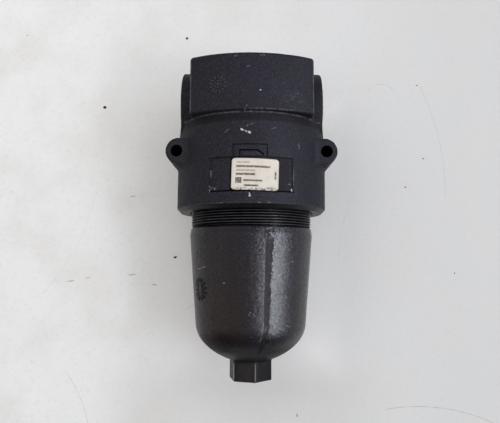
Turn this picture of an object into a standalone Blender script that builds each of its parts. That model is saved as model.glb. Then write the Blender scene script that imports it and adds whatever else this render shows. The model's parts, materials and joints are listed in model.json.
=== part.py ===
"""A pressure filter for a hydraulic line: a cast head with two ports, and a screw-in bowl around a pleated element.

Lengths are in metres and +Z is up. Everything is drawn in the filter's own frame, whose Z axis is the axis of the
bowl and whose zero height is the head's bottom face, with the ports along X and the lugs' bolts along Y. The empty
filter_axis carries it all, so that the origin of the world is the centre of the mounting pad behind the lugs.
"""

import math

import bmesh
import bpy
from mathutils import Matrix, Vector

MM = 0.001

# Clearances
GAP = 0.3 * MM  # between two pieces that touch
OVERCUT = 1.0 * MM  # how far a cutter runs past the face that it opens

# Round body of the head
BODY_RADIUS = 58.8 * MM
BODY_HEIGHT = 68.7 * MM
BODY_CHAMFER = 3.0 * MM
BODY_SHOULDER = 2.5 * MM
BODY_DRAFT_Z = 46.0 * MM  # the wall leans in above this height
BODY_LEAN = 1.2 * MM

# Port block on top of the round body
BLOCK_WIDTH = 91.2 * MM
BLOCK_HEIGHT = 42.1 * MM
BLOCK_PROUD = 1.2 * MM  # crown of its curved front, past the round body
BLOCK_SAGITTA = 12.0 * MM
BLOCK_CORNER = 3.0 * MM
BLOCK_EDGE = 1.5 * MM
BLOCK_SINK = 0.3 * MM  # into the round body, whose shoulder falls away in front of the corners

# Line ports
PORT_RISE = 15.3 * MM  # port axis above the round body
PORT_PROUD = 8.9 * MM  # boss face past the block's side
PORT_BOSS_WALL = 9.5 * MM
PORT_BOSS_EDGE = 1.5 * MM
PORT_TAP_RADIUS = 20.5 * MM
PORT_TAP_DEPTH = 20.0 * MM
PORT_CHAMFER = 1.5 * MM
PORT_SPOT_RADIUS = 27.0 * MM
PORT_SPOT_DEPTH = 0.6 * MM

# Passages inside the head
PASSAGE_RADIUS = 16.0 * MM
DIVIDER_WALL = 8.0 * MM
PASSAGE_OVERRUN = 0.5 * MM  # outlet passage past the far side of the spigot's bore
CEILING_WALL = 7.0 * MM
DROP_RADIUS = 11.0 * MM

# Mounting lugs, and the bar through them that ends in the mounting pad
LUG_HEIGHT = 44.5 * MM
LUG_RADIUS = 9.9 * MM
LUG_SPACING = 112.4 * MM
LUG_HOLE_RADIUS = 4.5 * MM
LUG_HOLE_INSET = 1.6 * MM  # centre of the lug's round end, inside the hole's axis
LUG_FRONT = 34.0 * MM
LUG_EDGE = 0.8 * MM
PAD_PROUD = 2.2 * MM

# Label recess and flow arrow
RECESS_DEPTH = 1.1 * MM
RECESS_WIDTH = 60.0 * MM
RECESS_LOW = 11.1 * MM
RECESS_HEIGHT = 24.3 * MM
ARROW_FRAME_DEPTH = 0.8 * MM
ARROW_FRAME_WIDTH = 25.0 * MM
ARROW_FRAME_HEIGHT = 9.0 * MM
ARROW_LENGTH = 16.8 * MM
ARROW_HEAD_LENGTH = 4.2 * MM
ARROW_HALF_HEIGHT = 3.0 * MM
ARROW_RISE = 1.5 * MM  # arrow's middle above the label recess
LABEL_WIDTH = 33.5 * MM
LABEL_OFFSET = 2.5 * MM
LABEL_THICKNESS = 0.25 * MM
LABEL_CORNER = 2.5 * MM

# Thread and seal of the bowl
THREAD_RADIUS = 47.5 * MM
THREAD_CLEARANCE = 0.4 * MM
THREAD_PITCH = 2.0 * MM
HEAD_THREAD_LENGTH = 28.0 * MM
THREAD_MOUTH_CHAMFER = 1.5 * MM
SEAL_STEP = 1.9 * MM  # thread radius less sealing bore
LAND_CLEARANCE = 0.4 * MM
GROOVE_DEPTH = 2.6 * MM
BACKUP_HEIGHT = 1.6 * MM

# Bowl, hanging partly unscrewed
TURNS_OPEN = 5.7
BOWL_STOP_GAP = 0.6 * MM  # shoulder to head when tight
BOWL_THREAD_LENGTH = 28.0 * MM
BOWL_LAND_LENGTH = 14.0 * MM
BOWL_GROOVE_RISE = 4.0 * MM
BOWL_SHOULDER_RADIUS = 47.5 * MM
BOWL_RADIUS = 48.35 * MM
BOWL_CHAMFER_HEIGHT = 5.0 * MM
BOWL_FOOT_DROP = 7.0 * MM  # lower end of the drafted wall, below the element
BOWL_DRAFT = 4.335  # degrees
BOWL_KNUCKLE = 25.0 * MM
BOWL_CROWN = 52.0 * MM
BOWL_WALL = 5.6 * MM
BOWL_MOUTH_RADIUS = 39.3 * MM
HEX_FLATS = 30.0 * MM
HEX_LENGTH = 13.0 * MM
HEX_CORNER = 1.5 * MM
HEX_EDGE = 0.8 * MM
HEX_TURN = 12.5  # degrees to the right of the front

# Filter element on the head's spigot
SPIGOT_RADIUS = 17.0 * MM
SPIGOT_WALL = 4.0 * MM
SPIGOT_LENGTH = 14.3 * MM
SPIGOT_SHOULDER = 1.5 * MM
SPIGOT_SHOULDER_HEIGHT = 6.7 * MM
SPIGOT_CHAMFER = 1.0 * MM
SPIGOT_GROOVE_RISE = 5.2 * MM
SPIGOT_GROOVE_DEPTH = 2.4 * MM
ELEMENT_RADIUS = 33.0 * MM
ELEMENT_LENGTH = 132.0 * MM
CAP_SHEET = 1.0 * MM
CAP_PLATE = 1.4 * MM
CAP_RIM = 7.0 * MM
COLLAR_WALL = 2.3 * MM
COLLAR_LENGTH = 12.0 * MM
CORE_WALL = 1.0 * MM
CORE_HOLE_RADIUS = 4.0 * MM
CORE_HOLE_ROWS = 4
CORE_HOLES_AROUND = 6
PLEATS = 32
PLEAT_DEPTH = 9.7 * MM
PLEAT_SHEET = 0.8 * MM
PLEAT_TIP = 0.9 * MM  # half width of a fold
CLIP_SHEET = 0.5 * MM
CLIP_REACH = 3.5 * MM

# Bypass valve in the head's ceiling
VALVE_OFFSET = 31.5 * MM
VALVE_ANGLE = 61.5  # degrees from +X
VALVE_RADIUS = 10.4 * MM
VALVE_POCKET_ROOM = 4.6 * MM  # round the valve's legs
VALVE_POCKET_SPARE = 3.4 * MM  # above the lifted stem
VALVE_BORE_RADIUS = 8.7 * MM
VALVE_FLANGE_FLATS = 25.0 * MM
VALVE_FLANGE_HEIGHT = 3.0 * MM
VALVE_SEAL_HEIGHT = 1.0 * MM
VALVE_CHAMBER_RADIUS = 7.8 * MM
VALVE_LEG_WIDTH = 4.5 * MM
VALVE_PLATE_HEIGHT = 3.0 * MM
VALVE_SPAN = 15.7 * MM  # seat to plate
SEAT_HEIGHT = 4.0 * MM
SEAT_BORE_RADIUS = 6.0 * MM
SEAT_CHAMFER = 0.4 * MM
CLIP_HEIGHT = 1.2 * MM
CLIP_GROOVE_DEPTH = 0.6 * MM
CLIP_WIDTH = 1.6 * MM
POPPET_HEIGHT = 2.0 * MM
POPPET_STEM_RADIUS = 1.8 * MM
POPPET_STEM_PROUD = 1.5 * MM
POPPET_STROKE = 5.0 * MM
SHIM_HEIGHT = 1.0 * MM
SHIM_WIDTH = 4.2 * MM
SPRING_RADIUS = 5.0 * MM
SPRING_WIRE = 0.65 * MM  # radius
SPRING_TURNS = 4.5

# Plug of the indicator's port on top
INDICATOR_X = -18.0 * MM
INDICATOR_Y = -28.0 * MM
INDICATOR_TAP_RADIUS = 10.0 * MM
INDICATOR_DEPTH = 17.0 * MM
INDICATOR_SINK = 5.0 * MM
INDICATOR_COLLAR_RADIUS = 14.5 * MM
INDICATOR_PROUD = 0.6 * MM
INDICATOR_SEAL_HEIGHT = 1.5 * MM
INDICATOR_SOCKET_FLATS = 10.0 * MM
INDICATOR_SOCKET_DEPTH = 7.0 * MM
PILOT_RADIUS = 1.6 * MM

# Facets
BODY_STEPS = 64
BOWL_STEPS = 48
BORE_STEPS = 32
SMALL_STEPS = 20
RING_STEPS = 32
SMOOTH_ANGLE = math.radians(35)

# Sizes that follow
GROOVE_HEIGHT = BACKUP_HEIGHT + GROOVE_DEPTH + LAND_CLEARANCE + 2 * GAP
BLOCK_CROWN = BODY_RADIUS + BLOCK_PROUD
BLOCK_BOTTOM = BODY_HEIGHT - BLOCK_SINK
BLOCK_TOP = BLOCK_BOTTOM + BLOCK_HEIGHT
PORT_Z = BODY_HEIGHT + PORT_RISE
PORT_FACE = BLOCK_WIDTH / 2 + PORT_PROUD
PORT_BOSS_RADIUS = PORT_TAP_RADIUS + PORT_BOSS_WALL
CEILING = PORT_Z - PASSAGE_RADIUS - CEILING_WALL
PAD_DEPTH = BODY_RADIUS + PAD_PROUD
SEAL_BORE_RADIUS = THREAD_RADIUS - SEAL_STEP
RECESS_TOP = RECESS_LOW + RECESS_HEIGHT
SPIGOT_BORE_RADIUS = SPIGOT_RADIUS - SPIGOT_WALL
SPIGOT_SHOULDER_Z = CEILING - SPIGOT_SHOULDER_HEIGHT
SPIGOT_END = SPIGOT_SHOULDER_Z - SPIGOT_LENGTH
OUTLET_END = -SPIGOT_BORE_RADIUS - PASSAGE_OVERRUN
INLET_END = OUTLET_END - DIVIDER_WALL
BOWL_SHOULDER_Z = -(TURNS_OPEN * THREAD_PITCH + BOWL_STOP_GAP)
BOWL_THREAD_TOP = BOWL_SHOULDER_Z + BOWL_THREAD_LENGTH
BOWL_LIP_Z = BOWL_THREAD_TOP + BOWL_LAND_LENGTH
LAND_RADIUS = SEAL_BORE_RADIUS - LAND_CLEARANCE
GROOVE_RADIUS = LAND_RADIUS - GROOVE_DEPTH
GROOVE_LOW = BOWL_THREAD_TOP + BOWL_GROOVE_RISE
ELEMENT_TOP = SPIGOT_SHOULDER_Z - GAP
ELEMENT_BOTTOM = ELEMENT_TOP - ELEMENT_LENGTH
COLLAR_BORE_RADIUS = SPIGOT_RADIUS + GAP
COLLAR_RADIUS = COLLAR_BORE_RADIUS + COLLAR_WALL
CORE_RADIUS = COLLAR_RADIUS + GAP + CORE_WALL
BOWL_WALL_Z = BOWL_SHOULDER_Z - BOWL_CHAMFER_HEIGHT
BOWL_FOOT_Z = ELEMENT_BOTTOM - BOWL_FOOT_DROP
BOWL_WALL_HEIGHT = BOWL_WALL_Z - BOWL_FOOT_Z
PLEAT_INNER = CORE_RADIUS + GAP
PLEAT_OUTER = PLEAT_INNER + PLEAT_DEPTH
PLEAT_TOP = ELEMENT_TOP - CAP_PLATE - GAP
PLEAT_BOTTOM = ELEMENT_BOTTOM + CAP_PLATE + GAP
VALVE_X = VALVE_OFFSET * math.cos(math.radians(VALVE_ANGLE))
VALVE_Y = VALVE_OFFSET * math.sin(math.radians(VALVE_ANGLE))
VALVE_HOLE_RADIUS = VALVE_RADIUS + GAP
VALVE_POCKET_RADIUS = VALVE_RADIUS + VALVE_POCKET_ROOM
VALVE_POCKET_FLOOR = CEILING + CEILING_WALL
VALVE_FLANGE_TOP = CEILING - VALVE_SEAL_HEIGHT - 2 * GAP
SEAT_TOP = VALVE_POCKET_FLOOR - 2 * GAP
POPPET_RADIUS = VALVE_CHAMBER_RADIUS - GAP
POPPET_Z = SEAT_TOP + GAP
VALVE_PLATE_Z = SEAT_TOP + VALVE_SPAN
STEM_TOP = VALVE_PLATE_Z + VALVE_PLATE_HEIGHT + POPPET_STEM_PROUD
VALVE_POCKET_TOP = STEM_TOP + POPPET_STROKE + VALVE_POCKET_SPARE
CLIP_GROOVE_TOP = SEAT_TOP - SEAT_HEIGHT
CLIP_GROOVE_LOW = CLIP_GROOVE_TOP - CLIP_HEIGHT - 2 * GAP


def make_collection(name):
    collection = bpy.data.collections.new(name)
    bpy.context.scene.collection.children.link(collection)
    return collection


for leftover in list(bpy.data.objects):
    bpy.data.objects.remove(leftover)
PARTS = make_collection("hydraulic_filter")
CUTTERS = make_collection("cutters")
CUTTERS.hide_render = True


def make_empty(name, location, parent=None):
    empty = bpy.data.objects.new(name, None)
    empty.location = location
    empty.parent = parent
    PARTS.objects.link(empty)
    return empty


FILTER_AXIS = make_empty("filter_axis", (0, -PAD_DEPTH, -LUG_HEIGHT))
VALVE_AXIS = make_empty("valve_axis", (VALVE_X, VALVE_Y, 0), FILTER_AXIS)
PLUG_AXIS = make_empty("indicator_axis", (INDICATOR_X, INDICATOR_Y, 0), FILTER_AXIS)


# Materials

def material(name, colour, roughness, metallic=0.0):
    result = bpy.data.materials.new(name)
    result.use_nodes = True
    shader = result.node_tree.nodes["Principled BSDF"]
    shader.inputs["Base Color"].default_value = (*colour, 1)
    shader.inputs["Roughness"].default_value = roughness
    shader.inputs["Metallic"].default_value = metallic
    result.diffuse_color = (*colour, 1)
    return result


PAINT = material("head_paint", (0.032, 0.032, 0.042), 0.5)
BOWL_PAINT = material("bowl_paint", (0.030, 0.027, 0.027), 0.4)
STICKER = material("sticker", (0.68, 0.62, 0.54), 0.55)
RUBBER = material("rubber", (0.012, 0.012, 0.012), 0.6)
BACKUP = material("backup_plastic", (0.75, 0.74, 0.70), 0.45)
FILTER_PAPER = material("filter_medium", (0.72, 0.66, 0.48), 0.85)
PLATED = material("plated_steel", (0.58, 0.58, 0.56), 0.35, 1.0)
SPRING_STEEL = material("spring_steel", (0.32, 0.32, 0.34), 0.3, 1.0)
COPPER = material("copper", (0.80, 0.42, 0.28), 0.4, 1.0)
BLACK_OXIDE = material("black_oxide", (0.035, 0.035, 0.038), 0.4, 0.7)


# Shape helpers

def add_object(name, data, parent, collection, colour=None):
    obj = bpy.data.objects.new(name, data)
    obj.parent = parent
    collection.objects.link(obj)
    if colour:
        data.materials.append(colour)
    if collection is CUTTERS:
        obj.hide_render = True
        obj.display_type = "WIRE"
    return obj


def arc(centre, radius, start, end, steps):
    """Points of an arc about centre, from one angle to another in degrees, anticlockwise if end is larger."""
    angles = [math.radians(start + (end - start) * i / steps) for i in range(steps + 1)]
    return [(centre[0] + radius * math.cos(a), centre[1] + radius * math.sin(a)) for a in angles]


def turned(name, profile, colour=None, steps=BORE_STEPS, closed=False, parent=FILTER_AXIS):
    """Turns (radius, height) points, which run down the outer side, about the parent's Z axis."""
    count = len(profile)
    edges = [(i, (i + 1) % count) for i in range(count if closed else count - 1)]
    mesh = bpy.data.meshes.new(name)
    mesh.from_pydata([(r, 0, z) for r, z in profile], edges, [])
    obj = add_object(name, mesh, parent, PARTS if colour else CUTTERS, colour)
    screw = obj.modifiers.new("turn", "SCREW")
    screw.axis = "Z"
    screw.angle = math.tau
    screw.steps = steps
    screw.render_steps = steps
    screw.use_merge_vertices = True
    screw.merge_threshold = 0.00001
    return obj


def rod(name, radius, start, end, steps=SMALL_STEPS, parent=FILTER_AXIS):
    """A cylinder between two points, as a cutter."""
    start = Vector(start)
    span = Vector(end) - start
    turn = Vector((0, 0, 1)).rotation_difference(span).to_matrix().to_4x4()
    mesh = bpy.data.meshes.new(name)
    form = bmesh.new()
    bmesh.ops.create_cone(
        form, cap_ends=True, segments=steps, radius1=radius, radius2=radius, depth=span.length,
        matrix=Matrix.Translation(start + span / 2) @ turn,
    )
    form.to_mesh(mesh)
    form.free()
    return add_object(name, mesh, parent, CUTTERS)


def prism(name, outlines, low, high, colour=None, along="Z", parent=FILTER_AXIS):
    """Extrudes flat outlines from low to high. An outline inside another is a hole."""
    curve = bpy.data.curves.new(name, "CURVE")
    curve.dimensions = "2D"
    curve.fill_mode = "BOTH"
    curve.extrude = (high - low) / 2
    for outline in outlines:
        spline = curve.splines.new("POLY")
        spline.points.add(len(outline) - 1)
        spline.use_cyclic_u = True
        for point, (x, y) in zip(spline.points, outline):
            point.co = (x, y, 0, 1)
    drawn = add_object(name + "_outline", curve, parent, CUTTERS)
    middle = (high + low) / 2
    if along == "Y":
        drawn.matrix_local = Matrix.Translation((0, middle, 0)) @ Matrix.Rotation(math.pi / 2, 4, "X")
    else:
        drawn.matrix_local = Matrix.Translation((0, 0, middle))
    return solid_from_curve(name, drawn, colour)


def solid_from_curve(name, drawn, colour):
    """Replaces a curve object by a closed mesh object in the same place."""
    bpy.context.view_layer.update()
    view = drawn.evaluated_get(bpy.context.evaluated_depsgraph_get())
    mesh = bpy.data.meshes.new_from_object(view)
    mesh.name = name
    mesh.materials.clear()
    form = bmesh.new()
    form.from_mesh(mesh)
    bmesh.ops.remove_doubles(form, verts=form.verts, dist=0.000001)
    bmesh.ops.recalc_face_normals(form, faces=form.faces)
    form.to_mesh(mesh)
    form.free()
    obj = add_object(name, mesh, drawn.parent, PARTS if colour else CUTTERS, colour)
    obj.matrix_world = drawn.matrix_world.copy()
    bpy.data.objects.remove(drawn)
    return obj


def combine(target, tool, operation):
    modifier = target.modifiers.new(tool.name, "BOOLEAN")
    modifier.operation = operation
    modifier.solver = "EXACT"
    modifier.object = tool


def soften(obj, width, segments=2):
    """Rounds the edges where faces meet at more than about 50 degrees."""
    bevel = obj.modifiers.new("soft_edge", "BEVEL")
    bevel.width = width
    bevel.segments = segments
    bevel.limit_method = "ANGLE"
    bevel.angle_limit = math.radians(50)


def rounded(corners, radius, steps=3):
    """A polygon's outline, anticlockwise, with each outward corner rounded."""
    outline = []
    count = len(corners)
    for i, corner in enumerate(corners):
        here = Vector(corner)
        before = (Vector(corners[i - 1]) - here).normalized()
        after = (Vector(corners[(i + 1) % count]) - here).normalized()
        half = before.angle(after) / 2
        centre = here + (before + after).normalized() * radius / math.sin(half)
        first = here + before * radius / math.tan(half) - centre
        for step in range(steps + 1):
            turn = Matrix.Rotation((math.pi - 2 * half) * step / steps, 2)
            outline.append(tuple(centre + turn @ first))
    return outline


def rectangle(low_x, high_x, low_z, high_z):
    return [(low_x, low_z), (high_x, low_z), (high_x, high_z), (low_x, high_z)]


def hexagon(flats, turn, corner=0.0):
    """A hexagon's outline, its first corner at an angle of turn degrees from +X."""
    reach = flats / math.sqrt(3)
    angles = [math.radians(turn + 60 * i) for i in range(6)]
    corners = [(reach * math.cos(a), reach * math.sin(a)) for a in angles]
    return rounded(corners, corner) if corner else corners


def patch(name, outline, inner, outer, colour=None):
    """The stretch of a tube's wall behind an outline that is drawn on the front of the filter."""
    wall = turned(
        name + "_wall",
        [(outer, BODY_HEIGHT), (outer, 0), (inner, 0), (inner, BODY_HEIGHT)],
        steps=BODY_STEPS, closed=True,
    )
    result = prism(name, [outline], -BODY_RADIUS - 5 * OVERCUT, -BODY_RADIUS / 3, colour, along="Y")
    combine(result, wall, "INTERSECT")
    return result


# Filter head

def round_body():
    shoulder = (BODY_RADIUS - BODY_LEAN - BODY_SHOULDER, BODY_HEIGHT - BODY_SHOULDER)
    profile = [(0, BODY_HEIGHT)]
    profile += arc(shoulder, BODY_SHOULDER, 90, 0, 4)
    profile += [(BODY_RADIUS, BODY_DRAFT_Z), (BODY_RADIUS, BODY_CHAMFER), (BODY_RADIUS - BODY_CHAMFER, 0), (0, 0)]
    return turned("filter_head", profile, PAINT, BODY_STEPS)


def port_block():
    half = BLOCK_WIDTH / 2
    side = BLOCK_CROWN - BLOCK_SAGITTA
    bow = (half ** 2 + BLOCK_SAGITTA ** 2) / (2 * BLOCK_SAGITTA)
    spread = math.degrees(math.asin((half - BLOCK_CORNER / 2) / bow))
    front = arc((0, bow - BLOCK_CROWN), bow, -90 - spread, -90 + spread, 12)
    back = [(-x, -y) for x, y in front]
    corner_side = side - BLOCK_CORNER
    outline = [(-half, -corner_side), *front, (half, -corner_side), (half, corner_side), *back, (-half, corner_side)]
    block = prism("port_block", [outline], BLOCK_BOTTOM, BLOCK_TOP)
    soften(block, BLOCK_EDGE)
    return block


def port_bosses():
    edge = PORT_BOSS_EDGE
    profile = [
        (0, PORT_FACE), (PORT_BOSS_RADIUS - edge, PORT_FACE), (PORT_BOSS_RADIUS, PORT_FACE - edge),
        (PORT_BOSS_RADIUS, edge - PORT_FACE), (PORT_BOSS_RADIUS - edge, -PORT_FACE), (0, -PORT_FACE),
    ]
    bosses = turned("port_bosses", profile, steps=BORE_STEPS)
    bosses.location = (0, 0, PORT_Z)
    bosses.rotation_euler = (0, math.pi / 2, 0)
    return bosses


def lug_bar():
    """One bar carries both lugs, and its back face is the mounting pad."""
    centre = LUG_SPACING / 2 - LUG_HOLE_INSET
    outline = arc((centre, LUG_HEIGHT), LUG_RADIUS, -90, 90, 10)
    outline += arc((-centre, LUG_HEIGHT), LUG_RADIUS, 90, 270, 10)
    bar = prism("lug_bar", [outline], -LUG_FRONT, PAD_DEPTH, along="Y")
    soften(bar, LUG_EDGE, 1)
    return bar


def bowl_bore():
    """The hollow for the bowl, with the element's spigot standing down in it."""
    groove_low = SPIGOT_END + SPIGOT_GROOVE_RISE
    groove_high = groove_low + SPIGOT_GROOVE_DEPTH + GAP
    shoulder = SPIGOT_RADIUS + SPIGOT_SHOULDER
    mouth = THREAD_RADIUS + THREAD_MOUTH_CHAMFER
    profile = [
        (0, SPIGOT_END), (SPIGOT_RADIUS - SPIGOT_CHAMFER, SPIGOT_END),
        (SPIGOT_RADIUS, SPIGOT_END + SPIGOT_CHAMFER),
        (SPIGOT_RADIUS, groove_low), (SPIGOT_RADIUS - SPIGOT_GROOVE_DEPTH, groove_low),
        (SPIGOT_RADIUS - SPIGOT_GROOVE_DEPTH, groove_high), (SPIGOT_RADIUS, groove_high),
        (SPIGOT_RADIUS, SPIGOT_SHOULDER_Z), (shoulder, SPIGOT_SHOULDER_Z), (shoulder, CEILING),
        (SEAL_BORE_RADIUS, CEILING), (SEAL_BORE_RADIUS, HEAD_THREAD_LENGTH + SEAL_STEP),
        (THREAD_RADIUS, HEAD_THREAD_LENGTH), (THREAD_RADIUS, THREAD_MOUTH_CHAMFER),
        (mouth, 0), (mouth, -OVERCUT), (0, -OVERCUT),
    ]
    return turned("bowl_bore", profile, steps=BOWL_STEPS)


def port_bore(name, inner_end, side):
    """A tapped port and its passage. Heights in the profile are distances out from the filter's axis."""
    floor = PORT_FACE - PORT_SPOT_DEPTH
    profile = [
        (0, PORT_FACE + OVERCUT), (PORT_SPOT_RADIUS, PORT_FACE + OVERCUT), (PORT_SPOT_RADIUS, floor),
        (PORT_TAP_RADIUS + PORT_CHAMFER, floor), (PORT_TAP_RADIUS, floor - PORT_CHAMFER),
        (PORT_TAP_RADIUS, PORT_FACE - PORT_TAP_DEPTH), (PASSAGE_RADIUS, PORT_FACE - PORT_TAP_DEPTH),
        (PASSAGE_RADIUS, inner_end), (0, inner_end),
    ]
    bore = turned(name, profile, steps=BORE_STEPS)
    half_facet = Matrix.Rotation(math.pi / BORE_STEPS, 4, "Z")
    bore.matrix_local = Matrix.Translation((0, 0, PORT_Z)) @ Matrix.Rotation(side * math.pi / 2, 4, "Y") @ half_facet
    return bore


def inlet_drop():
    """Takes the oil from the inlet passage down to the space around the element."""
    x = INLET_END - DROP_RADIUS
    return rod("inlet_drop", DROP_RADIUS, (x, 0, CEILING - OVERCUT), (x, 0, PORT_Z))


def indicator_bores():
    top = BLOCK_TOP + OVERCUT
    sink = BLOCK_TOP - INDICATOR_SINK
    floor = BLOCK_TOP - INDICATOR_DEPTH
    wide = INDICATOR_COLLAR_RADIUS + 2 * GAP
    profile = [
        (0, top), (wide, top), (wide, sink), (INDICATOR_TAP_RADIUS, sink), (INDICATOR_TAP_RADIUS, floor), (0, floor),
    ]
    yield turned("indicator_bore", profile, steps=SMALL_STEPS, parent=PLUG_AXIS)
    pilot_z = floor + PILOT_RADIUS
    for name, x in (("inlet", INLET_END - 2 * PILOT_RADIUS), ("outlet", OUTLET_END + 2 * PILOT_RADIUS)):
        yield rod(f"pilot_{name}", PILOT_RADIUS, (x, INDICATOR_Y, pilot_z), (x, -PASSAGE_RADIUS / 2, pilot_z), 8)


def arrow_outline():
    """Flow arrow with a notched tail, pointing from the inlet on the left to the outlet on the right."""
    middle = RECESS_TOP + ARROW_RISE
    tail = -ARROW_LENGTH / 2
    tip = ARROW_LENGTH / 2
    neck_x = tip - ARROW_HEAD_LENGTH
    return [
        (tail, middle - ARROW_HALF_HEIGHT), (neck_x, middle - ARROW_HALF_HEIGHT), (tip, middle),
        (neck_x, middle + ARROW_HALF_HEIGHT), (tail, middle + ARROW_HALF_HEIGHT),
        (tail + ARROW_HALF_HEIGHT / 2, middle),
    ]


def label_recess():
    half = RECESS_WIDTH / 2
    outline = rectangle(-half, half, RECESS_LOW, RECESS_TOP)
    return patch("label_recess", outline, BODY_RADIUS - RECESS_DEPTH, BODY_RADIUS + OVERCUT)


def arrow_frame():
    half = ARROW_FRAME_WIDTH / 2
    outline = rectangle(-half, half, RECESS_TOP - OVERCUT, RECESS_TOP + ARROW_FRAME_HEIGHT)
    frame = patch("arrow_frame", outline, BODY_RADIUS - ARROW_FRAME_DEPTH, BODY_RADIUS + OVERCUT)
    arrow = prism("flow_arrow", [arrow_outline()], -2 * BODY_RADIUS, 0, along="Y")
    combine(frame, arrow, "DIFFERENCE")
    return frame


def make_head():
    head = round_body()
    for piece in (port_block(), port_bosses(), lug_bar()):
        combine(head, piece, "UNION")
    cutters = [
        bowl_bore(),
        rod("spigot_bore", SPIGOT_BORE_RADIUS, (0, 0, SPIGOT_END - OVERCUT),
            (0, 0, PORT_Z - PASSAGE_RADIUS / 2), BORE_STEPS),
        port_bore("inlet_bore", -INLET_END, -1),
        port_bore("outlet_bore", OUTLET_END, 1),
        inlet_drop(),
        rod("valve_hole", VALVE_HOLE_RADIUS, (0, 0, CEILING - OVERCUT), (0, 0, VALVE_POCKET_FLOOR + OVERCUT),
            parent=VALVE_AXIS),
        rod("valve_pocket", VALVE_POCKET_RADIUS, (0, 0, VALVE_POCKET_FLOOR),
            (0, 0, VALVE_POCKET_TOP), parent=VALVE_AXIS),
        *indicator_bores(),
        label_recess(),
        arrow_frame(),
    ]
    for side in (-1, 1):
        x = side * LUG_SPACING / 2
        cutters.append(rod(f"lug_hole_{side}", LUG_HOLE_RADIUS, (x, -LUG_FRONT - OVERCUT, LUG_HEIGHT),
                           (x, PAD_DEPTH + OVERCUT, LUG_HEIGHT)))
    for cutter in cutters:
        combine(head, cutter, "DIFFERENCE")


# Bowl and its seals

def dome(wall_radius, wall_z, knuckle, crown, steps):
    """The wall's lower end, a knuckle arc tangent to the drafted wall, and a crown arc that ends on the axis."""
    knuckle_x = wall_radius - knuckle * math.cos(math.radians(BOWL_DRAFT))
    knuckle_z = wall_z + knuckle * math.sin(math.radians(BOWL_DRAFT))
    crown_z = knuckle_z + math.sqrt((crown - knuckle) ** 2 - knuckle_x ** 2)
    turn = math.degrees(math.atan2(knuckle_z - crown_z, knuckle_x))
    points = arc((knuckle_x, knuckle_z), knuckle, -BOWL_DRAFT, turn, steps)
    return points + arc((0, crown_z), crown, turn, -90, steps)[1:]


def bowl_profile():
    thread = THREAD_RADIUS - THREAD_CLEARANCE
    foot_radius = BOWL_RADIUS - BOWL_WALL_HEIGHT * math.tan(math.radians(BOWL_DRAFT))
    outside = [
        (LAND_RADIUS - GROOVE_DEPTH / 4, BOWL_LIP_Z), (LAND_RADIUS, BOWL_LIP_Z - GROOVE_DEPTH / 4),
        (LAND_RADIUS, GROOVE_LOW + GROOVE_HEIGHT), (GROOVE_RADIUS, GROOVE_LOW + GROOVE_HEIGHT),
        (GROOVE_RADIUS, GROOVE_LOW), (LAND_RADIUS, GROOVE_LOW), (LAND_RADIUS, BOWL_THREAD_TOP + SEAL_STEP),
        (thread, BOWL_THREAD_TOP), (thread, BOWL_SHOULDER_Z), (BOWL_SHOULDER_RADIUS, BOWL_SHOULDER_Z),
        (BOWL_RADIUS, BOWL_WALL_Z),
    ]
    outside += dome(foot_radius, BOWL_FOOT_Z, BOWL_KNUCKLE, BOWL_CROWN, 6)
    inside = dome(foot_radius - BOWL_WALL, BOWL_FOOT_Z, BOWL_KNUCKLE - BOWL_WALL, BOWL_CROWN - BOWL_WALL, 4)
    inside.reverse()
    return [*inside, (BOWL_MOUTH_RADIUS, BOWL_WALL_Z), (BOWL_MOUTH_RADIUS, BOWL_LIP_Z), *outside]


def make_bowl():
    profile = bowl_profile()
    bowl = turned("filter_bowl", profile, BOWL_PAINT, BOWL_STEPS)
    crown_low = profile[-1][1]
    hex_outline = hexagon(HEX_FLATS, HEX_TURN - 90, HEX_CORNER)
    wrench_hex = prism("wrench_hex", [hex_outline], crown_low - HEX_LENGTH, crown_low + BOWL_WALL / 2)
    soften(wrench_hex, HEX_EDGE, 1)
    combine(bowl, wrench_hex, "UNION")


def o_ring(name, inner, outer, middle_z):
    """An O-ring between two radii, with a gap to both, closed as a torus."""
    thickness = (outer - inner) / 2 - GAP
    section = arc(((inner + outer) / 2, middle_z), thickness, 0, -360, 8)[:-1]
    return turned(name, section, RUBBER, RING_STEPS, closed=True)


def make_bowl_seals():
    inner = GROOVE_RADIUS + GAP
    outer = LAND_RADIUS
    low = GROOVE_LOW + GAP
    backup_top = low + BACKUP_HEIGHT
    ring = [(outer, backup_top), (outer, low), (inner, low), (inner, backup_top)]
    turned("bowl_backup_ring", ring, BACKUP, RING_STEPS, closed=True)
    middle = (backup_top + GROOVE_LOW + GROOVE_HEIGHT) / 2
    o_ring("bowl_o_ring", GROOVE_RADIUS, SEAL_BORE_RADIUS, middle)


# Filter element

def make_caps():
    skirt = ELEMENT_RADIUS - CAP_SHEET
    plate = ELEMENT_TOP - CAP_PLATE
    top = [
        (ELEMENT_RADIUS, ELEMENT_TOP), (ELEMENT_RADIUS, ELEMENT_TOP - CAP_RIM), (skirt, ELEMENT_TOP - CAP_RIM),
        (skirt, plate), (COLLAR_RADIUS, plate), (COLLAR_RADIUS, ELEMENT_TOP - COLLAR_LENGTH),
        (COLLAR_BORE_RADIUS, ELEMENT_TOP - COLLAR_LENGTH), (COLLAR_BORE_RADIUS, ELEMENT_TOP),
    ]
    turned("element_top_cap", top, PLATED, closed=True)
    floor = ELEMENT_BOTTOM + CAP_PLATE
    bottom = [
        (0, floor), (skirt, floor), (skirt, ELEMENT_BOTTOM + CAP_RIM), (ELEMENT_RADIUS, ELEMENT_BOTTOM + CAP_RIM),
        (ELEMENT_RADIUS, ELEMENT_BOTTOM), (0, ELEMENT_BOTTOM),
    ]
    turned("element_bottom_cap", bottom, PLATED)


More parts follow.
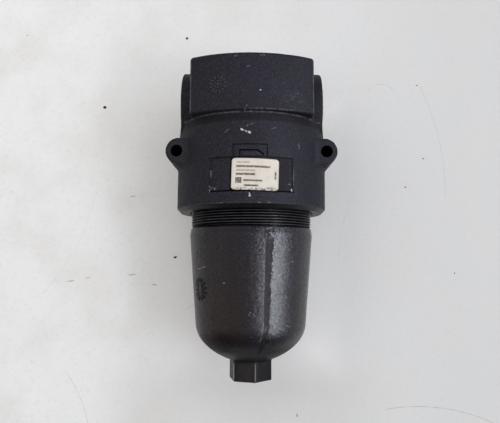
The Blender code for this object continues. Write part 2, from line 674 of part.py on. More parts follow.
def make_core_tube():
    inner = CORE_RADIUS - CORE_WALL
    wall = [(CORE_RADIUS, PLEAT_TOP), (CORE_RADIUS, PLEAT_BOTTOM), (inner, PLEAT_BOTTOM), (inner, PLEAT_TOP)]
    tube = turned("element_core_tube", wall, PLATED, closed=True)
    spacing = (PLEAT_TOP - PLEAT_BOTTOM - COLLAR_LENGTH) / CORE_HOLE_ROWS
    for row in range(CORE_HOLE_ROWS):
        z = PLEAT_BOTTOM + spacing * (row + 0.5)
        for i in range(CORE_HOLES_AROUND // 2):
            angle = math.tau * (i + (row % 2) / 2) / CORE_HOLES_AROUND
            reach = Vector((math.cos(angle), math.sin(angle), 0)) * (CORE_RADIUS + OVERCUT)
            middle = Vector((0, 0, z))
            combine(tube, rod(f"core_hole_{row}_{i}", CORE_HOLE_RADIUS, middle - reach, middle + reach, 8),
                    "DIFFERENCE")


def pleat_line(tip_radius, tip_half, valley_radius, valley_half):
    """A zigzag with flat folds: two points on each outer fold and two on each inner one."""
    outline = []
    for i in range(PLEATS):
        for radius, half, angle in (
            (tip_radius, tip_half, math.tau * i / PLEATS),
            (valley_radius, valley_half, math.tau * (i + 0.5) / PLEATS),
        ):
            for side in (-1, 1):
                turn = angle + side * half / radius
                outline.append((radius * math.cos(turn), radius * math.sin(turn)))
    return outline


def make_media():
    fold = PLEAT_TIP - PLEAT_SHEET * 0.7
    outer = pleat_line(PLEAT_OUTER, PLEAT_TIP, PLEAT_INNER + PLEAT_SHEET, fold * 2)
    inner = pleat_line(PLEAT_OUTER - PLEAT_SHEET, fold, PLEAT_INNER, PLEAT_TIP * 1.3)
    prism("element_media", [outer, inner], PLEAT_BOTTOM, PLEAT_TOP, FILTER_PAPER)


def make_seam_clip():
    """A folded strip over one pleat, which holds the two ends of the pleated sheet together."""
    inner_top = PLEAT_OUTER + GAP
    outer_top = inner_top + CLIP_SHEET
    low = outer_top - CLIP_REACH
    inner_half = PLEAT_TIP + 2 * GAP
    outer_half = inner_half + CLIP_SHEET
    outline = [
        (low, -outer_half), (outer_top, -outer_half), (outer_top, outer_half), (low, outer_half),
        (low, inner_half), (inner_top, inner_half), (inner_top, -inner_half), (low, -inner_half),
    ]
    prism("element_seam_clip", [outline], PLEAT_BOTTOM, PLEAT_TOP, PLATED)


def make_element():
    make_caps()
    make_core_tube()
    make_media()
    make_seam_clip()
    groove_middle = SPIGOT_END + SPIGOT_GROOVE_RISE + (SPIGOT_GROOVE_DEPTH + GAP) / 2
    o_ring("element_o_ring", SPIGOT_RADIUS - SPIGOT_GROOVE_DEPTH, COLLAR_BORE_RADIUS, groove_middle)


# Bypass valve

def window_outline(angle):
    """A wedge of 120 degrees about an angle, set out from the middle by half a leg's width."""
    middle = Vector((1, 0))
    middle.rotate(Matrix.Rotation(math.radians(angle), 2))
    tip = middle * VALVE_LEG_WIDTH / (2 * math.sin(math.radians(60)))
    reach = 2 * VALVE_RADIUS
    sides = []
    for turn in (-60, 60):
        side = middle.copy()
        side.rotate(Matrix.Rotation(math.radians(turn), 2))
        sides.append(tip + side * reach)
    return [tuple(point) for point in (tip, sides[0], sides[0] + middle * reach, sides[1] + middle * reach, sides[1])]


def make_cage():
    """The valve's body: flange and thread below, three legs and a guide plate above, in one piece."""
    groove = VALVE_BORE_RADIUS + CLIP_GROOVE_DEPTH
    flange_low = VALVE_FLANGE_TOP - VALVE_FLANGE_HEIGHT
    plate_top = VALVE_PLATE_Z + VALVE_PLATE_HEIGHT
    guide = POPPET_STEM_RADIUS + GAP
    body_low = flange_low + VALVE_FLANGE_HEIGHT / 2
    body = [(0, plate_top), (VALVE_RADIUS, plate_top), (VALVE_RADIUS, body_low), (0, body_low)]
    cage = turned("bypass_cage", body, PLATED, SMALL_STEPS, parent=VALVE_AXIS)
    hex_outline = hexagon(VALVE_FLANGE_FLATS, VALVE_ANGLE + 30)
    flange = prism("valve_flange", [hex_outline], flange_low, VALVE_FLANGE_TOP, parent=VALVE_AXIS)
    combine(cage, flange, "UNION")
    hollow = [
        (0, plate_top + OVERCUT), (guide, plate_top + OVERCUT), (guide, VALVE_PLATE_Z),
        (VALVE_CHAMBER_RADIUS, VALVE_PLATE_Z), (VALVE_CHAMBER_RADIUS, SEAT_TOP + GAP),
        (VALVE_BORE_RADIUS, SEAT_TOP + GAP), (VALVE_BORE_RADIUS, CLIP_GROOVE_TOP), (groove, CLIP_GROOVE_TOP),
        (groove, CLIP_GROOVE_LOW), (VALVE_BORE_RADIUS, CLIP_GROOVE_LOW),
        (VALVE_BORE_RADIUS, flange_low - OVERCUT), (0, flange_low - OVERCUT),
    ]
    combine(cage, turned("valve_hollow", hollow, steps=SMALL_STEPS, parent=VALVE_AXIS), "DIFFERENCE")
    for i in range(3):
        window = prism(f"valve_window_{i}", [window_outline(VALVE_ANGLE + 30 + 120 * i)], SEAT_TOP + 2 * GAP,
                       VALVE_PLATE_Z - GAP, parent=VALVE_AXIS)
        combine(cage, window, "DIFFERENCE")


def make_bypass():
    make_cage()
    seat_radius = VALVE_BORE_RADIUS - GAP
    seat = [
        (seat_radius, SEAT_TOP), (seat_radius, CLIP_GROOVE_TOP), (SEAT_BORE_RADIUS, CLIP_GROOVE_TOP),
        (SEAT_BORE_RADIUS, SEAT_TOP - SEAT_CHAMFER), (SEAT_BORE_RADIUS + SEAT_CHAMFER, SEAT_TOP),
    ]
    turned("bypass_seat", seat, PLATED, SMALL_STEPS, closed=True, parent=VALVE_AXIS)

    clip_top = CLIP_GROOVE_TOP - GAP
    clip_low = CLIP_GROOVE_LOW + GAP
    clip_outer = VALVE_BORE_RADIUS + CLIP_GROOVE_DEPTH - GAP
    clip_inner = clip_outer - CLIP_WIDTH
    clip = [(clip_outer, clip_top), (clip_outer, clip_low), (clip_inner, clip_low), (clip_inner, clip_top)]
    turned("bypass_seat_clip", clip, SPRING_STEEL, SMALL_STEPS, closed=True, parent=VALVE_AXIS)

    seal_low = VALVE_FLANGE_TOP + GAP
    seal_top = seal_low + VALVE_SEAL_HEIGHT
    seal_outer = VALVE_FLANGE_FLATS / 2 - GAP
    seal_inner = VALVE_RADIUS + GAP
    seal = [(seal_outer, seal_top), (seal_outer, seal_low), (seal_inner, seal_low), (seal_inner, seal_top)]
    turned("bypass_seal", seal, COPPER, SMALL_STEPS, closed=True, parent=VALVE_AXIS)

    disc_top = POPPET_Z + POPPET_HEIGHT
    poppet = [
        (0, STEM_TOP), (POPPET_STEM_RADIUS, STEM_TOP), (POPPET_STEM_RADIUS, disc_top), (POPPET_RADIUS, disc_top),
        (POPPET_RADIUS, POPPET_Z), (0, POPPET_Z),
    ]
    turned("bypass_poppet", poppet, PLATED, SMALL_STEPS, parent=VALVE_AXIS)

    shim_top = VALVE_PLATE_Z - GAP
    shim_low = shim_top - SHIM_HEIGHT
    shim_inner = POPPET_STEM_RADIUS + GAP
    shim_outer = shim_inner + SHIM_WIDTH
    shim = [(shim_outer, shim_top), (shim_outer, shim_low), (shim_inner, shim_low), (shim_inner, shim_top)]
    turned("bypass_shim", shim, PLATED, SMALL_STEPS, closed=True, parent=VALVE_AXIS)

    make_spring(disc_top + GAP + SPRING_WIRE, shim_low - GAP - SPRING_WIRE)


def make_spring(low, high):
    """A coil whose first and last half turns lie flat."""
    per_turn = 12
    total = round(SPRING_TURNS * per_turn)
    flat = per_turn // 2
    curve = bpy.data.curves.new("bypass_spring", "CURVE")
    curve.dimensions = "3D"
    curve.bevel_depth = SPRING_WIRE
    curve.bevel_resolution = 2
    curve.use_fill_caps = True
    spline = curve.splines.new("POLY")
    spline.points.add(total)
    for i, point in enumerate(spline.points):
        climb = min(max((i - flat) / (total - 2 * flat), 0), 1)
        angle = math.tau * i / per_turn
        point.co = (SPRING_RADIUS * math.cos(angle), SPRING_RADIUS * math.sin(angle), low + (high - low) * climb, 1)
    add_object("bypass_spring", curve, VALVE_AXIS, PARTS, SPRING_STEEL)


# Indicator plug and label

def make_indicator_plug():
    seat = BLOCK_TOP - INDICATOR_SINK
    seal_low = seat + GAP
    seal_top = seal_low + INDICATOR_SEAL_HEIGHT
    seal_inner = INDICATOR_TAP_RADIUS + GAP
    seal_outer = INDICATOR_COLLAR_RADIUS
    seal = [(seal_outer, seal_top), (seal_outer, seal_low), (seal_inner, seal_low), (seal_inner, seal_top)]
    turned("indicator_plug_seal", seal, PLATED, SMALL_STEPS, closed=True, parent=PLUG_AXIS)

    top = BLOCK_TOP + INDICATOR_PROUD
    collar_low = seal_top + GAP
    body = INDICATOR_TAP_RADIUS - GAP
    low = BLOCK_TOP - INDICATOR_DEPTH + 3 * PILOT_RADIUS
    profile = [
        (0, top), (INDICATOR_COLLAR_RADIUS, top), (INDICATOR_COLLAR_RADIUS, collar_low), (body, collar_low),
        (body, low), (0, low),
    ]
    plug = turned("indicator_plug", profile, BLACK_OXIDE, SMALL_STEPS, parent=PLUG_AXIS)
    socket = prism("plug_socket", [hexagon(INDICATOR_SOCKET_FLATS, 0)], top - INDICATOR_SOCKET_DEPTH,
                   top + OVERCUT, parent=PLUG_AXIS)
    combine(plug, socket, "DIFFERENCE")


def make_label():
    inner = BODY_RADIUS - RECESS_DEPTH + GAP
    low_x = LABEL_OFFSET - LABEL_WIDTH / 2
    corners = rectangle(low_x, low_x + LABEL_WIDTH, RECESS_LOW + GAP, RECESS_TOP - GAP)
    patch("name_label", rounded(corners, LABEL_CORNER), inner, inner + LABEL_THICKNESS, STICKER)


def settle():
    """Applies every modifier, and shades round faces smooth up to the crisp edges."""
    bpy.context.view_layer.update()
    graph = bpy.context.evaluated_depsgraph_get()
    finished = []
    for obj in PARTS.objects:
        if obj.type == "MESH":
            finished.append((obj, bpy.data.meshes.new_from_object(obj.evaluated_get(graph))))
    for obj, mesh in finished:
        obj.modifiers.clear()
        mesh.name = obj.name
        obj.data = mesh
        mesh.shade_smooth()
        mesh.set_sharp_from_angle(angle=SMOOTH_ANGLE)


make_head()
make_bowl()
make_bowl_seals()
make_element()
make_bypass()
make_indicator_plug()
make_label()
settle()
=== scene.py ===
"""The looks of a pressure filter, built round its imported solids.

Every piece here is drawn in millimetres in the filter's own frame: its Z axis is the axis of the bowl, its zero height
is the head's bottom face and the front looks along -Y. place() turns that into the metres of the solids' frame.
"""

import json
import math

import bmesh
import bpy
import numpy as np
import openvdb
from mathutils import Matrix, Vector, noise


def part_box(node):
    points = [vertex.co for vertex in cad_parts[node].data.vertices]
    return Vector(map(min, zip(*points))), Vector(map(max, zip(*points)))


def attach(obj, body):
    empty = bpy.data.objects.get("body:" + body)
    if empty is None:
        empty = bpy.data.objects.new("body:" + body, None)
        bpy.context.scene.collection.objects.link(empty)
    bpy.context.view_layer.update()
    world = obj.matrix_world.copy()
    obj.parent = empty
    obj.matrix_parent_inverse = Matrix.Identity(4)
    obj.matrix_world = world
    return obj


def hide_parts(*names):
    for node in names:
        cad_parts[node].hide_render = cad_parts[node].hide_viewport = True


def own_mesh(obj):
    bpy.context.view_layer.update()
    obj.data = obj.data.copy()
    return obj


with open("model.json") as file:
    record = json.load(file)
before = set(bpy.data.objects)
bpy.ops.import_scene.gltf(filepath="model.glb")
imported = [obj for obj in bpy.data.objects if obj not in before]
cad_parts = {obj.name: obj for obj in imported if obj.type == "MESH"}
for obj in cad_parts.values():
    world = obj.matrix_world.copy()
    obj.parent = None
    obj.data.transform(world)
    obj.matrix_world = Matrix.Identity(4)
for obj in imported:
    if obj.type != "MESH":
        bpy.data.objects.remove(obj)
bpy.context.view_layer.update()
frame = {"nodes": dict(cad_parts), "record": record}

MM = 0.001
AXIS_Y = -61.0  # filter's axis in the solids' frame
BASE_Z = -44.5  # head's bottom face in the solids' frame
ORIGIN = np.array((0, AXIS_Y, BASE_Z)) * MM

# Round body of the head
BODY_RADIUS = 58.8
BODY_HEIGHT = 68.7
BODY_CHAMFER = 3.0
BODY_SHOULDER = 2.5
BODY_DRAFT_Z = 46.0
BODY_LEAN = 1.2
BODY_ROUND = 0.8  # where the chamfer meets the wall
CAST_SPARE = 1.5  # what machining takes off the back

# Port block, bosses and lugs
BLOCK_HALF = 45.6
BLOCK_LOW = 68.4
BLOCK_TOP = 110.5
BLOCK_CROWN = 60.0
BLOCK_SAGITTA = 12.0
BLOCK_BOW = (BLOCK_HALF ** 2 + BLOCK_SAGITTA ** 2) / (2 * BLOCK_SAGITTA)
BLOCK_FILLET = 0.9
BLOCK_SPLIT = 0.2  # rounding of the line where the front and the back halves meet
BLOCK_CORNER = 3.0
BLOCK_EDGE = 1.5
PORT_Z = 84.0
PORT_FACE = 54.5
BOSS_RADIUS = 30.0
BOSS_EDGE = 1.2
BOSS_FILLET = 2.5
TAP_RADIUS = 20.5
TAP_DEPTH = 20.0
SPOT_RADIUS = 27.0
SPOT_DEPTH = 0.6
PASSAGE_RADIUS = 16.0
INLET_END = -21.5
OUTLET_END = -13.5
CEILING = 61.0
DROP_RADIUS = 11.0
LUG_Z = 44.5
LUG_CENTRE = 54.6
LUG_RADIUS = 9.9
LUG_HOLE_X = 56.2
LUG_HOLE_RADIUS = 4.5
LUG_FRONT = -34.0
LUG_EDGE = 1.0
LUG_FILLET = 2.5
PAD_Y = 61.0

# Label recess and flow arrow
RECESS_RADIUS = 57.7
RECESS_HALF = 30.0
RECESS_LOW = 11.1
RECESS_TOP = 35.4
ARROW_RADIUS = 58.0
ARROW_FRAME_LEFT = -13.3
ARROW_FRAME_RIGHT = 11.4
ARROW_FRAME_TOP = 44.4
ARROW_MIDDLE = 36.9
ARROW_HALF = 8.4
ARROW_THICK = 3.0
ARROW_HEAD = 4.2

# Bores and the element's spigot
THREAD_RADIUS = 47.5
THREAD_PITCH = 2.0
SEAL_RADIUS = 45.6
SPIGOT_RADIUS = 17.0
SPIGOT_BORE = 13.0
SPIGOT_END = 40.0
SPIGOT_SHOULDER = 54.3
SPIGOT_GROOVE_LOW = 45.2
SPIGOT_GROOVE_HIGH = 47.9
SPIGOT_GROOVE_DEPTH = 2.4
SEAL_LOW = 29.9
THREAD_END = 28
SPIGOT_COLLAR = 1.5
SPIGOT_BORE_END = 76
CHAMFER = 1.5  # at the mouths of the bowl's bore and of the ports
CUT_CLEAR = 1.5  # how far a cut starts outside the wall
VALVE_X = 15.03
VALVE_Y = 27.68
VALVE_HOLE_RADIUS = 10.7
VALVE_POCKET_RADIUS = 15
VALVE_HOLE_TOP = 69
VALVE_POCKET_LOW = 68
VALVE_POCKET_TOP = 96
PLUG_X = -18.0
PLUG_Y = -28.0
PLUG_SEAT_RADIUS = 15.1
PLUG_SEAT_Z = 105.5
PLUG_BORE_RADIUS = 10
PLUG_BORE_END = 93.5

# Bypass valve's spring
SPRING_RADIUS = 5.0
SPRING_WIRE = 0.65
SPRING_TURNS = 4.5

# Bowl
BOWL_SHOULDER_Z = -12.0
BOWL_SHOULDER_RADIUS = 47.5
BOWL_RADIUS = 48.35
BOWL_WALL_Z = -17.0
BOWL_FOOT_Z = -85.0
BOWL_DRAFT = 4.335
BOWL_KNUCKLE = 25.0
BOWL_CROWN = 52.0
BOWL_WALL = 5.6
BOWL_MOUTH = 39.3
THREAD_TOP = 16.0
LIP_Z = 30.0
LAND_RADIUS = 45.2
GROOVE_RADIUS = 42.6
GROOVE_LOW = 20.0
GROOVE_HIGH = 25.2
CREST_RADIUS = 47.35
ROOT_RADIUS = 46.25
THREAD_CREST = 0.22  # width of a ridge's flat top
THREAD_FLANK = 0.36  # halfway down its side
THREAD_ROOT = (0.94, 1.34)  # where the flat ground between two ridges starts and ends
HEX_APOTHEM = 15.0
HEX_LOW = -128.23
HEX_CORNER = 1.5
HEX_EDGE = 0.8
HEX_TURN = 12.5  # degrees to the right of the front
HEX_FILLET = 2.2
SEAM_TURN = 14.6  # degrees to the right of the front
SEAM_DEPTH = 0.2  # what grinding took off there

# Foundry marks
WHEEL_X = -24.2
WHEEL_Z = 87.7
PIP_X = 23.0
PIP_Z = 88.2
MARK_TURN = -56.3  # degrees from the front
MARK_Z = -58.2
MARK_REACH = 45.66  # radius of the bowl's wall there

# Label
LABEL_INNER = 58.0
LABEL_OUTER = 58.25
LABEL_X = 2.5
LABEL_Z = 22.9
LABEL_HALF = 16.6
LABEL_RISE = 11.15
LABEL_CORNER = 2.4
LABEL_TURN = 1.5  # degrees clockwise

# Printed bars of the sticker: colour, strength, then left, right, middle height and half height of each bar
STICKER_PRINT = [
    ((136, 128, 120), 0.75, [(-13.1, -4.0, 8.3, 0.45), (-13.1, -0.2, 2.6, 0.5)]),
    ((74, 66, 62), 0.95, [(-13.4, 10.4, 5.4, 0.7), (-13.4, 0.0, -0.1, 0.7), (-8.2, 5.0, -4.5, 0.6),
                          (-7.6, 2.4, -8.0, 0.6), (13.7, 14.9, -0.4, 2.6), (-13.7, -9.4, -4.5, 2.0)]),
]

# Marks on the front, each an ellipse: x, z, half length, half width, turn
HEAD_CHIPS = [
    (-6.9, 54.6, 1.5, 0.8, -25), (-4.2, 53.6, 1.4, 0.5, -30), (-1.6, 52.6, 1.4, 1.0, -35), (-1.5, 8.9, 0.5, 1.5),
    (-1.2, 7.6, 0.9, 0.7), (6.0, 82.7, 0.7, 0.6), (28.6, 12.8, 0.5, 1.3, 10),
]
HEAD_SCUFFS = [
    (-17.8, 54.2, 2.7, 0.32, 38), (0.0, 58.8, 2.4, 0.3, 30), (-3.4, 57.3, 1.2, 0.4, 45), (-3.8, 71.5, 0.7, 0.7),
    (6.6, 108.2, 1.2, 0.5, 50), (8.2, 108.4, 1.1, 0.4, -40), (-20.8, 3.1, 1.0, 0.5), (5.6, 3.1, 1.3, 0.5),
    (12.6, 3.1, 1.9, 0.5), (-11.5, 107.6, 1.8, 0.4), (-2.6, 99.8, 0.9, 0.8), (-4.9, 68.4, 0.5, 1.6),
    (-29.4, 14.8, 1.6, 0.5, -40), (-27.8, 14.0, 1.4, 0.4, 50), (-25.9, 13.2, 1.2, 0.8), (-29.6, 12.2, 0.5, 1.6),
    (26.8, 16.8, 1.0, 0.9), (29.9, 22.0, 0.35, 8.0), (-28.8, 24.0, 0.6, 3.4), (15.8, 56.2, 2.2, 0.4, 20),
    (34.0, 45.0, 0.5, 2.6, 10),
]
BOWL_LIGHT_MARKS = [
    (-38.4, -43.2, 2.2, 0.35, 12), (-34.6, -41.9, 2.0, 0.35, 8), (-19.2, -53.0, 0.8, 0.55),
    (-1.3, -75.3, 0.7, 0.45, -30), (2.0, -74.6, 0.8, 0.5, 20), (2.9, -76.0, 0.5, 0.6), (30.2, -37.4, 0.6, 0.8),
    (-0.2, -73.6, 0.3, 0.7, 20),
]
BOWL_THIN_MARKS = [
    (14.2, -87.6, 3.8, 0.45, -40), (17.0, -88.8, 3.2, 0.4, 62), (10.6, -85.6, 3.0, 0.4, 70),
    (22.5, -86.2, 3.4, 0.4, -25), (27.0, -84.0, 2.4, 0.5, -15), (7.0, -93.0, 0.5, 2.6, -20),
]
BOWL_DARK_MARKS = [
    (4.7, -49.4, 1.1, 1.6), (23.4, -83.6, 1.6, 0.7, -15), (16.0, -92.0, 0.8, 0.8), (30.0, -44.6, 1.6, 0.4, 30),
    (24.0, -36.0, 0.5, 0.9), (8.5, -57.0, 0.5, 0.7), (26.4, -62.0, 0.5, 0.6), (21.0, -71.0, 0.5, 0.8),
]

HEAD_VOXEL = 1.0  # size of the grid that the casting is meshed on

# Camera, backdrop and room
PICTURE_WIDTH = 500
FOCAL_PIXELS = 520
SENSOR_WIDTH = 36.0
CAMERA_TILT = 5.6
CAMERA_ROLL = 0.33
CAMERA_X = -0.93
CAMERA_Z = 2.4
CAMERA_DISTANCE = 417.5
ROOM_STRENGTH = 0.72
BACKDROP_HALF = 0.42
BACKDROP_DEPTH = 0.0008
BACKDROP_LEFT = (242, 243, 243)
BACKDROP_RIGHT = (214, 215, 216)
# Thin scratches on the surface behind: centre x and z, radius, first and last direction in degrees, strength
BACKDROP_SCRATCHES = [
    (-60.0, 30.0, 240.0, -2.0, 24.0, 0.35), (122.0, 116.0, 14.0, 20.0, 150.0, 0.45),
    (-260.0, -210.0, 120.0, -12.0, 38.0, 0.4), (150.0, -330.0, 165.0, 66.0, 100.0, 0.7),
    (60.0, -230.0, 190.0, 100.0, 128.0, 0.35), (230.0, -40.0, 150.0, 150.0, 196.0, 0.25),
    (-330.0, 60.0, 190.0, -44.0, -8.0, 0.25), (400.0, 220.0, 260.0, 205.0, 226.0, 0.3),
]
# Dark specks on it, given like the marks
BACKDROP_SPECKS = [
    (-138.0, 106.0, 1.9, 1.55), (-62.0, 174.0, 1.5, 1.2, 30), (-69.0, -34.0, 1.8, 1.2, 20),
    (143.0, 32.0, 0.8, 0.7), (186.0, -47.0, 0.75, 0.75), (-214.0, 176.0, 0.7, 0.6),
    (-108.0, -50.0, 4.5, 0.28, 8), (-164.0, -56.0, 4.5, 0.25, 5), (-148.0, -53.0, 3.0, 0.22, 3),
    (-88.0, -59.0, 2.5, 0.25), (-109.0, 22.0, 3.0, 0.25, 5), (160.0, 59.0, 0.7, 0.6),
    (156.0, 129.0, 1.2, 0.4), (42.0, -173.0, 0.5, 1.6),
]


# Mesh helpers

def place(points):
    """Takes points in the filter's frame into the solids' frame."""
    return np.asarray(points) * MM + ORIGIN


def read(items, what):
    """One vector for each vertex or face of a mesh."""
    values = np.empty(len(items) * 3)
    items.foreach_get(what, values)
    return values.reshape(-1, 3)


def new_object(name, mesh, materials=()):
    obj = bpy.data.objects.new(name, mesh)
    bpy.context.scene.collection.objects.link(obj)
    for material in materials:
        mesh.materials.append(material)
    return obj


def mesh_from(name, points, faces, weld=0.002, tiny=0.0005, finish=None):
    """A mesh from points in the filter's frame, welded, with its faces outward."""
    mesh = bpy.data.meshes.new(name)
    mesh.from_pydata([tuple(p) for p in place(points)], [], faces)
    if finish:
        mesh.polygons.foreach_set("material_index", finish)
    form = bmesh.new()
    form.from_mesh(mesh)
    bmesh.ops.remove_doubles(form, verts=form.verts, dist=weld * MM)
    bmesh.ops.dissolve_degenerate(form, edges=form.edges, dist=tiny * MM)
    bmesh.ops.recalc_face_normals(form, faces=form.faces)
    form.to_mesh(mesh)
    form.free()
    return mesh


def arc(centre, radius, start, end, steps):
    angles = [math.radians(start + (end - start) * i / steps) for i in range(steps + 1)]
    return [(centre[0] + radius * math.cos(a), centre[1] + radius * math.sin(a)) for a in angles]


def grid_faces(first, columns, rows, around=False, closed=False):
    """Quads between columns of points. around joins the last column to the first, closed the last row to the first."""
    faces = []
    for i in range(columns if around else columns - 1):
        a, b = first + i * rows, first + (i + 1) % columns * rows
        for k in range(rows if closed else rows - 1):
            m = (k + 1) % rows
            faces.append((a + k, b + k, b + m, a + m))
    return faces


def turned(name, profile, steps, put):
    """Sweeps (radius, reach) points all the way round. put(reach, u, v) gives each point in the filter's frame."""
    points = []
    for i in range(steps):
        a = math.tau * (i + 0.5) / steps
        points += [put(reach, r * math.cos(a), r * math.sin(a)) for r, reach in profile]
    return mesh_from(name, points, grid_faces(0, steps, len(profile), around=True))


def lathe(name, profile, steps=64, centre=(0, 0)):
    """Turns (radius, height) points about a vertical axis."""
    return turned(name, profile, steps, lambda z, u, v: (centre[0] + u, centre[1] + v, z))


def across(name, profile, side, steps):
    """Turns (radius, distance from the axis) points about the ports' axis, on one side of the filter."""
    return turned(name, profile, steps, lambda t, u, v: (side * t, u, PORT_Z + v))


def prism_faces(first, count):
    """The faces of a prism between two rings of count points each, the first of them numbered first."""
    faces = [tuple(range(first, first + count)), tuple(range(first + count, first + 2 * count))]
    for i in range(count):
        j = (i + 1) % count
        faces.append((first + i, first + j, first + count + j, first + count + i))
    return faces


def extrude_y(name, outline, low, high):
    """A prism of an (x, z) outline between two depths."""
    return mesh_from(name, [(x, y, z) for y in (low, high) for x, z in outline], prism_faces(0, len(outline)))


def front_wall(name, outline, inner, outer):
    """The part of a tube's wall behind an (x, z) outline on the front, in facets one degree wide."""
    low_x, high_x = min(x for x, z in outline), max(x for x, z in outline)
    form = bmesh.new()
    form.faces.new([form.verts.new((x, 0, z)) for x, z in outline])
    first, last = (math.degrees(math.asin(x / outer)) for x in (low_x, high_x))
    for degree in range(math.floor(first), math.ceil(last) + 1):
        cut = outer * math.sin(math.radians(degree))
        if low_x < cut < high_x:
            geometry = form.verts[:] + form.edges[:] + form.faces[:]
            bmesh.ops.bisect_plane(form, geom=geometry, plane_co=(cut, 0, 0), plane_no=(1, 0, 0))
    form.verts.index_update()
    flat = [(v.co.x, v.co.z) for v in form.verts]
    sides = [tuple(v.index for v in face.verts) for face in form.faces]
    rims = [(e.verts[0].index, e.verts[1].index) for e in form.edges if len(e.link_faces) == 1]
    form.free()
    count = len(flat)
    points = []
    for radius in (outer, inner):
        for x, z in flat:
            turn = math.asin(max(-1, min(1, x / outer)))
            points.append((radius * math.sin(turn), -radius * math.cos(turn), z))
    faces = sides + [tuple(count + i for i in reversed(side)) for side in sides]
    faces += [(a, b, b + count, a + count) for a, b in rims]
    return mesh_from(name, points, faces)


def combine(target, steps):
    """Cuts meshes out of an object, or joins them to it, and keeps the result as its mesh."""
    tools = []
    for operation, mesh in steps:
        tool = new_object(mesh.name, mesh)
        tools.append(tool)
        modifier = target.modifiers.new(mesh.name, "BOOLEAN")
        modifier.operation = operation
        modifier.solver = "MANIFOLD"
        modifier.object = tool
    graph = bpy.context.evaluated_depsgraph_get()
    result = bpy.data.meshes.new_from_object(target.evaluated_get(graph))
    target.modifiers.clear()
    target.data = result
    for tool in tools:
        bpy.data.objects.remove(tool)


def date_wheel(name, surface, core, ring, spokes, width, high=0.3, low=-0.6):
    """A foundry's date wheel without figures, raised from a surface given as surface(u, v, height)."""
    points, faces = [], []
    bars = [arc((0, 0), core, 0, 360, 16)[:-1]] if core else []
    start, end, count = spokes
    half = width / 2
    for i in range(count):
        a = math.tau * (i + 0.25) / count
        bars.append([(r * math.cos(a) - s * math.sin(a), r * math.sin(a) + s * math.cos(a))
                     for r, s in ((start, -half), (end, -half), (end, half), (start, half))])
    for bar in bars:
        faces += prism_faces(len(points), len(bar))
        points += [surface(u, v, height) for height in (low, high) for u, v in bar]
    inner, outer = ring
    circle = arc((0, 0), 1.0, 0, 360, 32)[:-1]
    faces += grid_faces(len(points), len(circle), 4, around=True, closed=True)
    for u, v in circle:
        points += [surface(u * r, v * r, height)
                   for r, height in ((inner, low), (outer, low), (outer, high), (inner, high))]
    return mesh_from(name, points, faces)


def shade(obj, degrees):
    obj.data.shade_smooth()
    obj.data.set_sharp_from_angle(angle=math.radians(degrees))


def roughen(mesh, layers, keep=None):
    """Moves vertices along their normals by layers of noise: (size of a lump, height) in millimetres."""
    points = read(mesh.vertices, "co")
    normals = read(mesh.vertex_normals, "vector")
    lift = np.full(len(points), -0.5 * sum(height for size, height in layers))
    for size, height in layers:
        scale = 1 / (size * MM)
        lift += height * np.array([noise.noise(Vector(p) * scale) for p in points])
    lift = np.minimum(lift, 0)
    if keep is not None:
        lift *= keep(points)
    points += normals * (lift * MM)[:, None]
    mesh.vertices.foreach_set("co", points.ravel())
    mesh.update()


# Rounded solids by distance, for the casting

def round_union(a, b, radius):
    u = np.maximum(radius - a, 0)
    v = np.maximum(radius - b, 0)
    return np.maximum(radius, np.minimum(a, b)) - np.hypot(u, v)


def round_meet(a, b, radius):
    u = np.maximum(radius + a, 0)
    v = np.maximum(radius + b, 0)
    return np.minimum(-radius, np.maximum(a, b)) + np.hypot(u, v)


def head_form(x, y, z):
    """Distance to the casting's outside, before it is machined."""
    r = np.hypot(x, y)
    lean = BODY_LEAN * np.clip((z - BODY_DRAFT_Z) / (BODY_HEIGHT - BODY_SHOULDER - BODY_DRAFT_Z), 0, 1)
    body = round_meet(r - BODY_RADIUS + lean, z - BODY_HEIGHT, BODY_SHOULDER)
    body = round_meet(body, (r - z - BODY_RADIUS + BODY_CHAMFER) / math.sqrt(2), BODY_ROUND)
    body = np.maximum(body, -z - 2.5)

    front = np.hypot(x, y + BLOCK_CROWN - BLOCK_BOW) - BLOCK_BOW
    back = np.hypot(x, y - BLOCK_CROWN + BLOCK_BOW) - BLOCK_BOW
    side = np.abs(x) - BLOCK_HALF
    plan = round_meet(side, front, BLOCK_CORNER)
    plan = round_meet(plan, round_meet(side, back, BLOCK_CORNER), BLOCK_SPLIT)
    middle = (BLOCK_LOW + BLOCK_TOP) / 2
    block = round_meet(plan, np.abs(z - middle) - (BLOCK_TOP - BLOCK_LOW) / 2, BLOCK_EDGE)

    boss = round_meet(np.hypot(y, z - PORT_Z) - BOSS_RADIUS, np.abs(x) - PORT_FACE, BOSS_EDGE)
    bar = np.hypot(np.maximum(np.abs(x) - LUG_CENTRE, 0), z - LUG_Z) - LUG_RADIUS
    bar = round_meet(bar, LUG_FRONT - y, LUG_EDGE)
    bar = np.maximum(bar, y - PAD_Y - CAST_SPARE)

    form = round_union(body, block, BLOCK_FILLET)
    form = round_union(form, boss, BOSS_FILLET)
    return round_union(form, bar, LUG_FILLET)


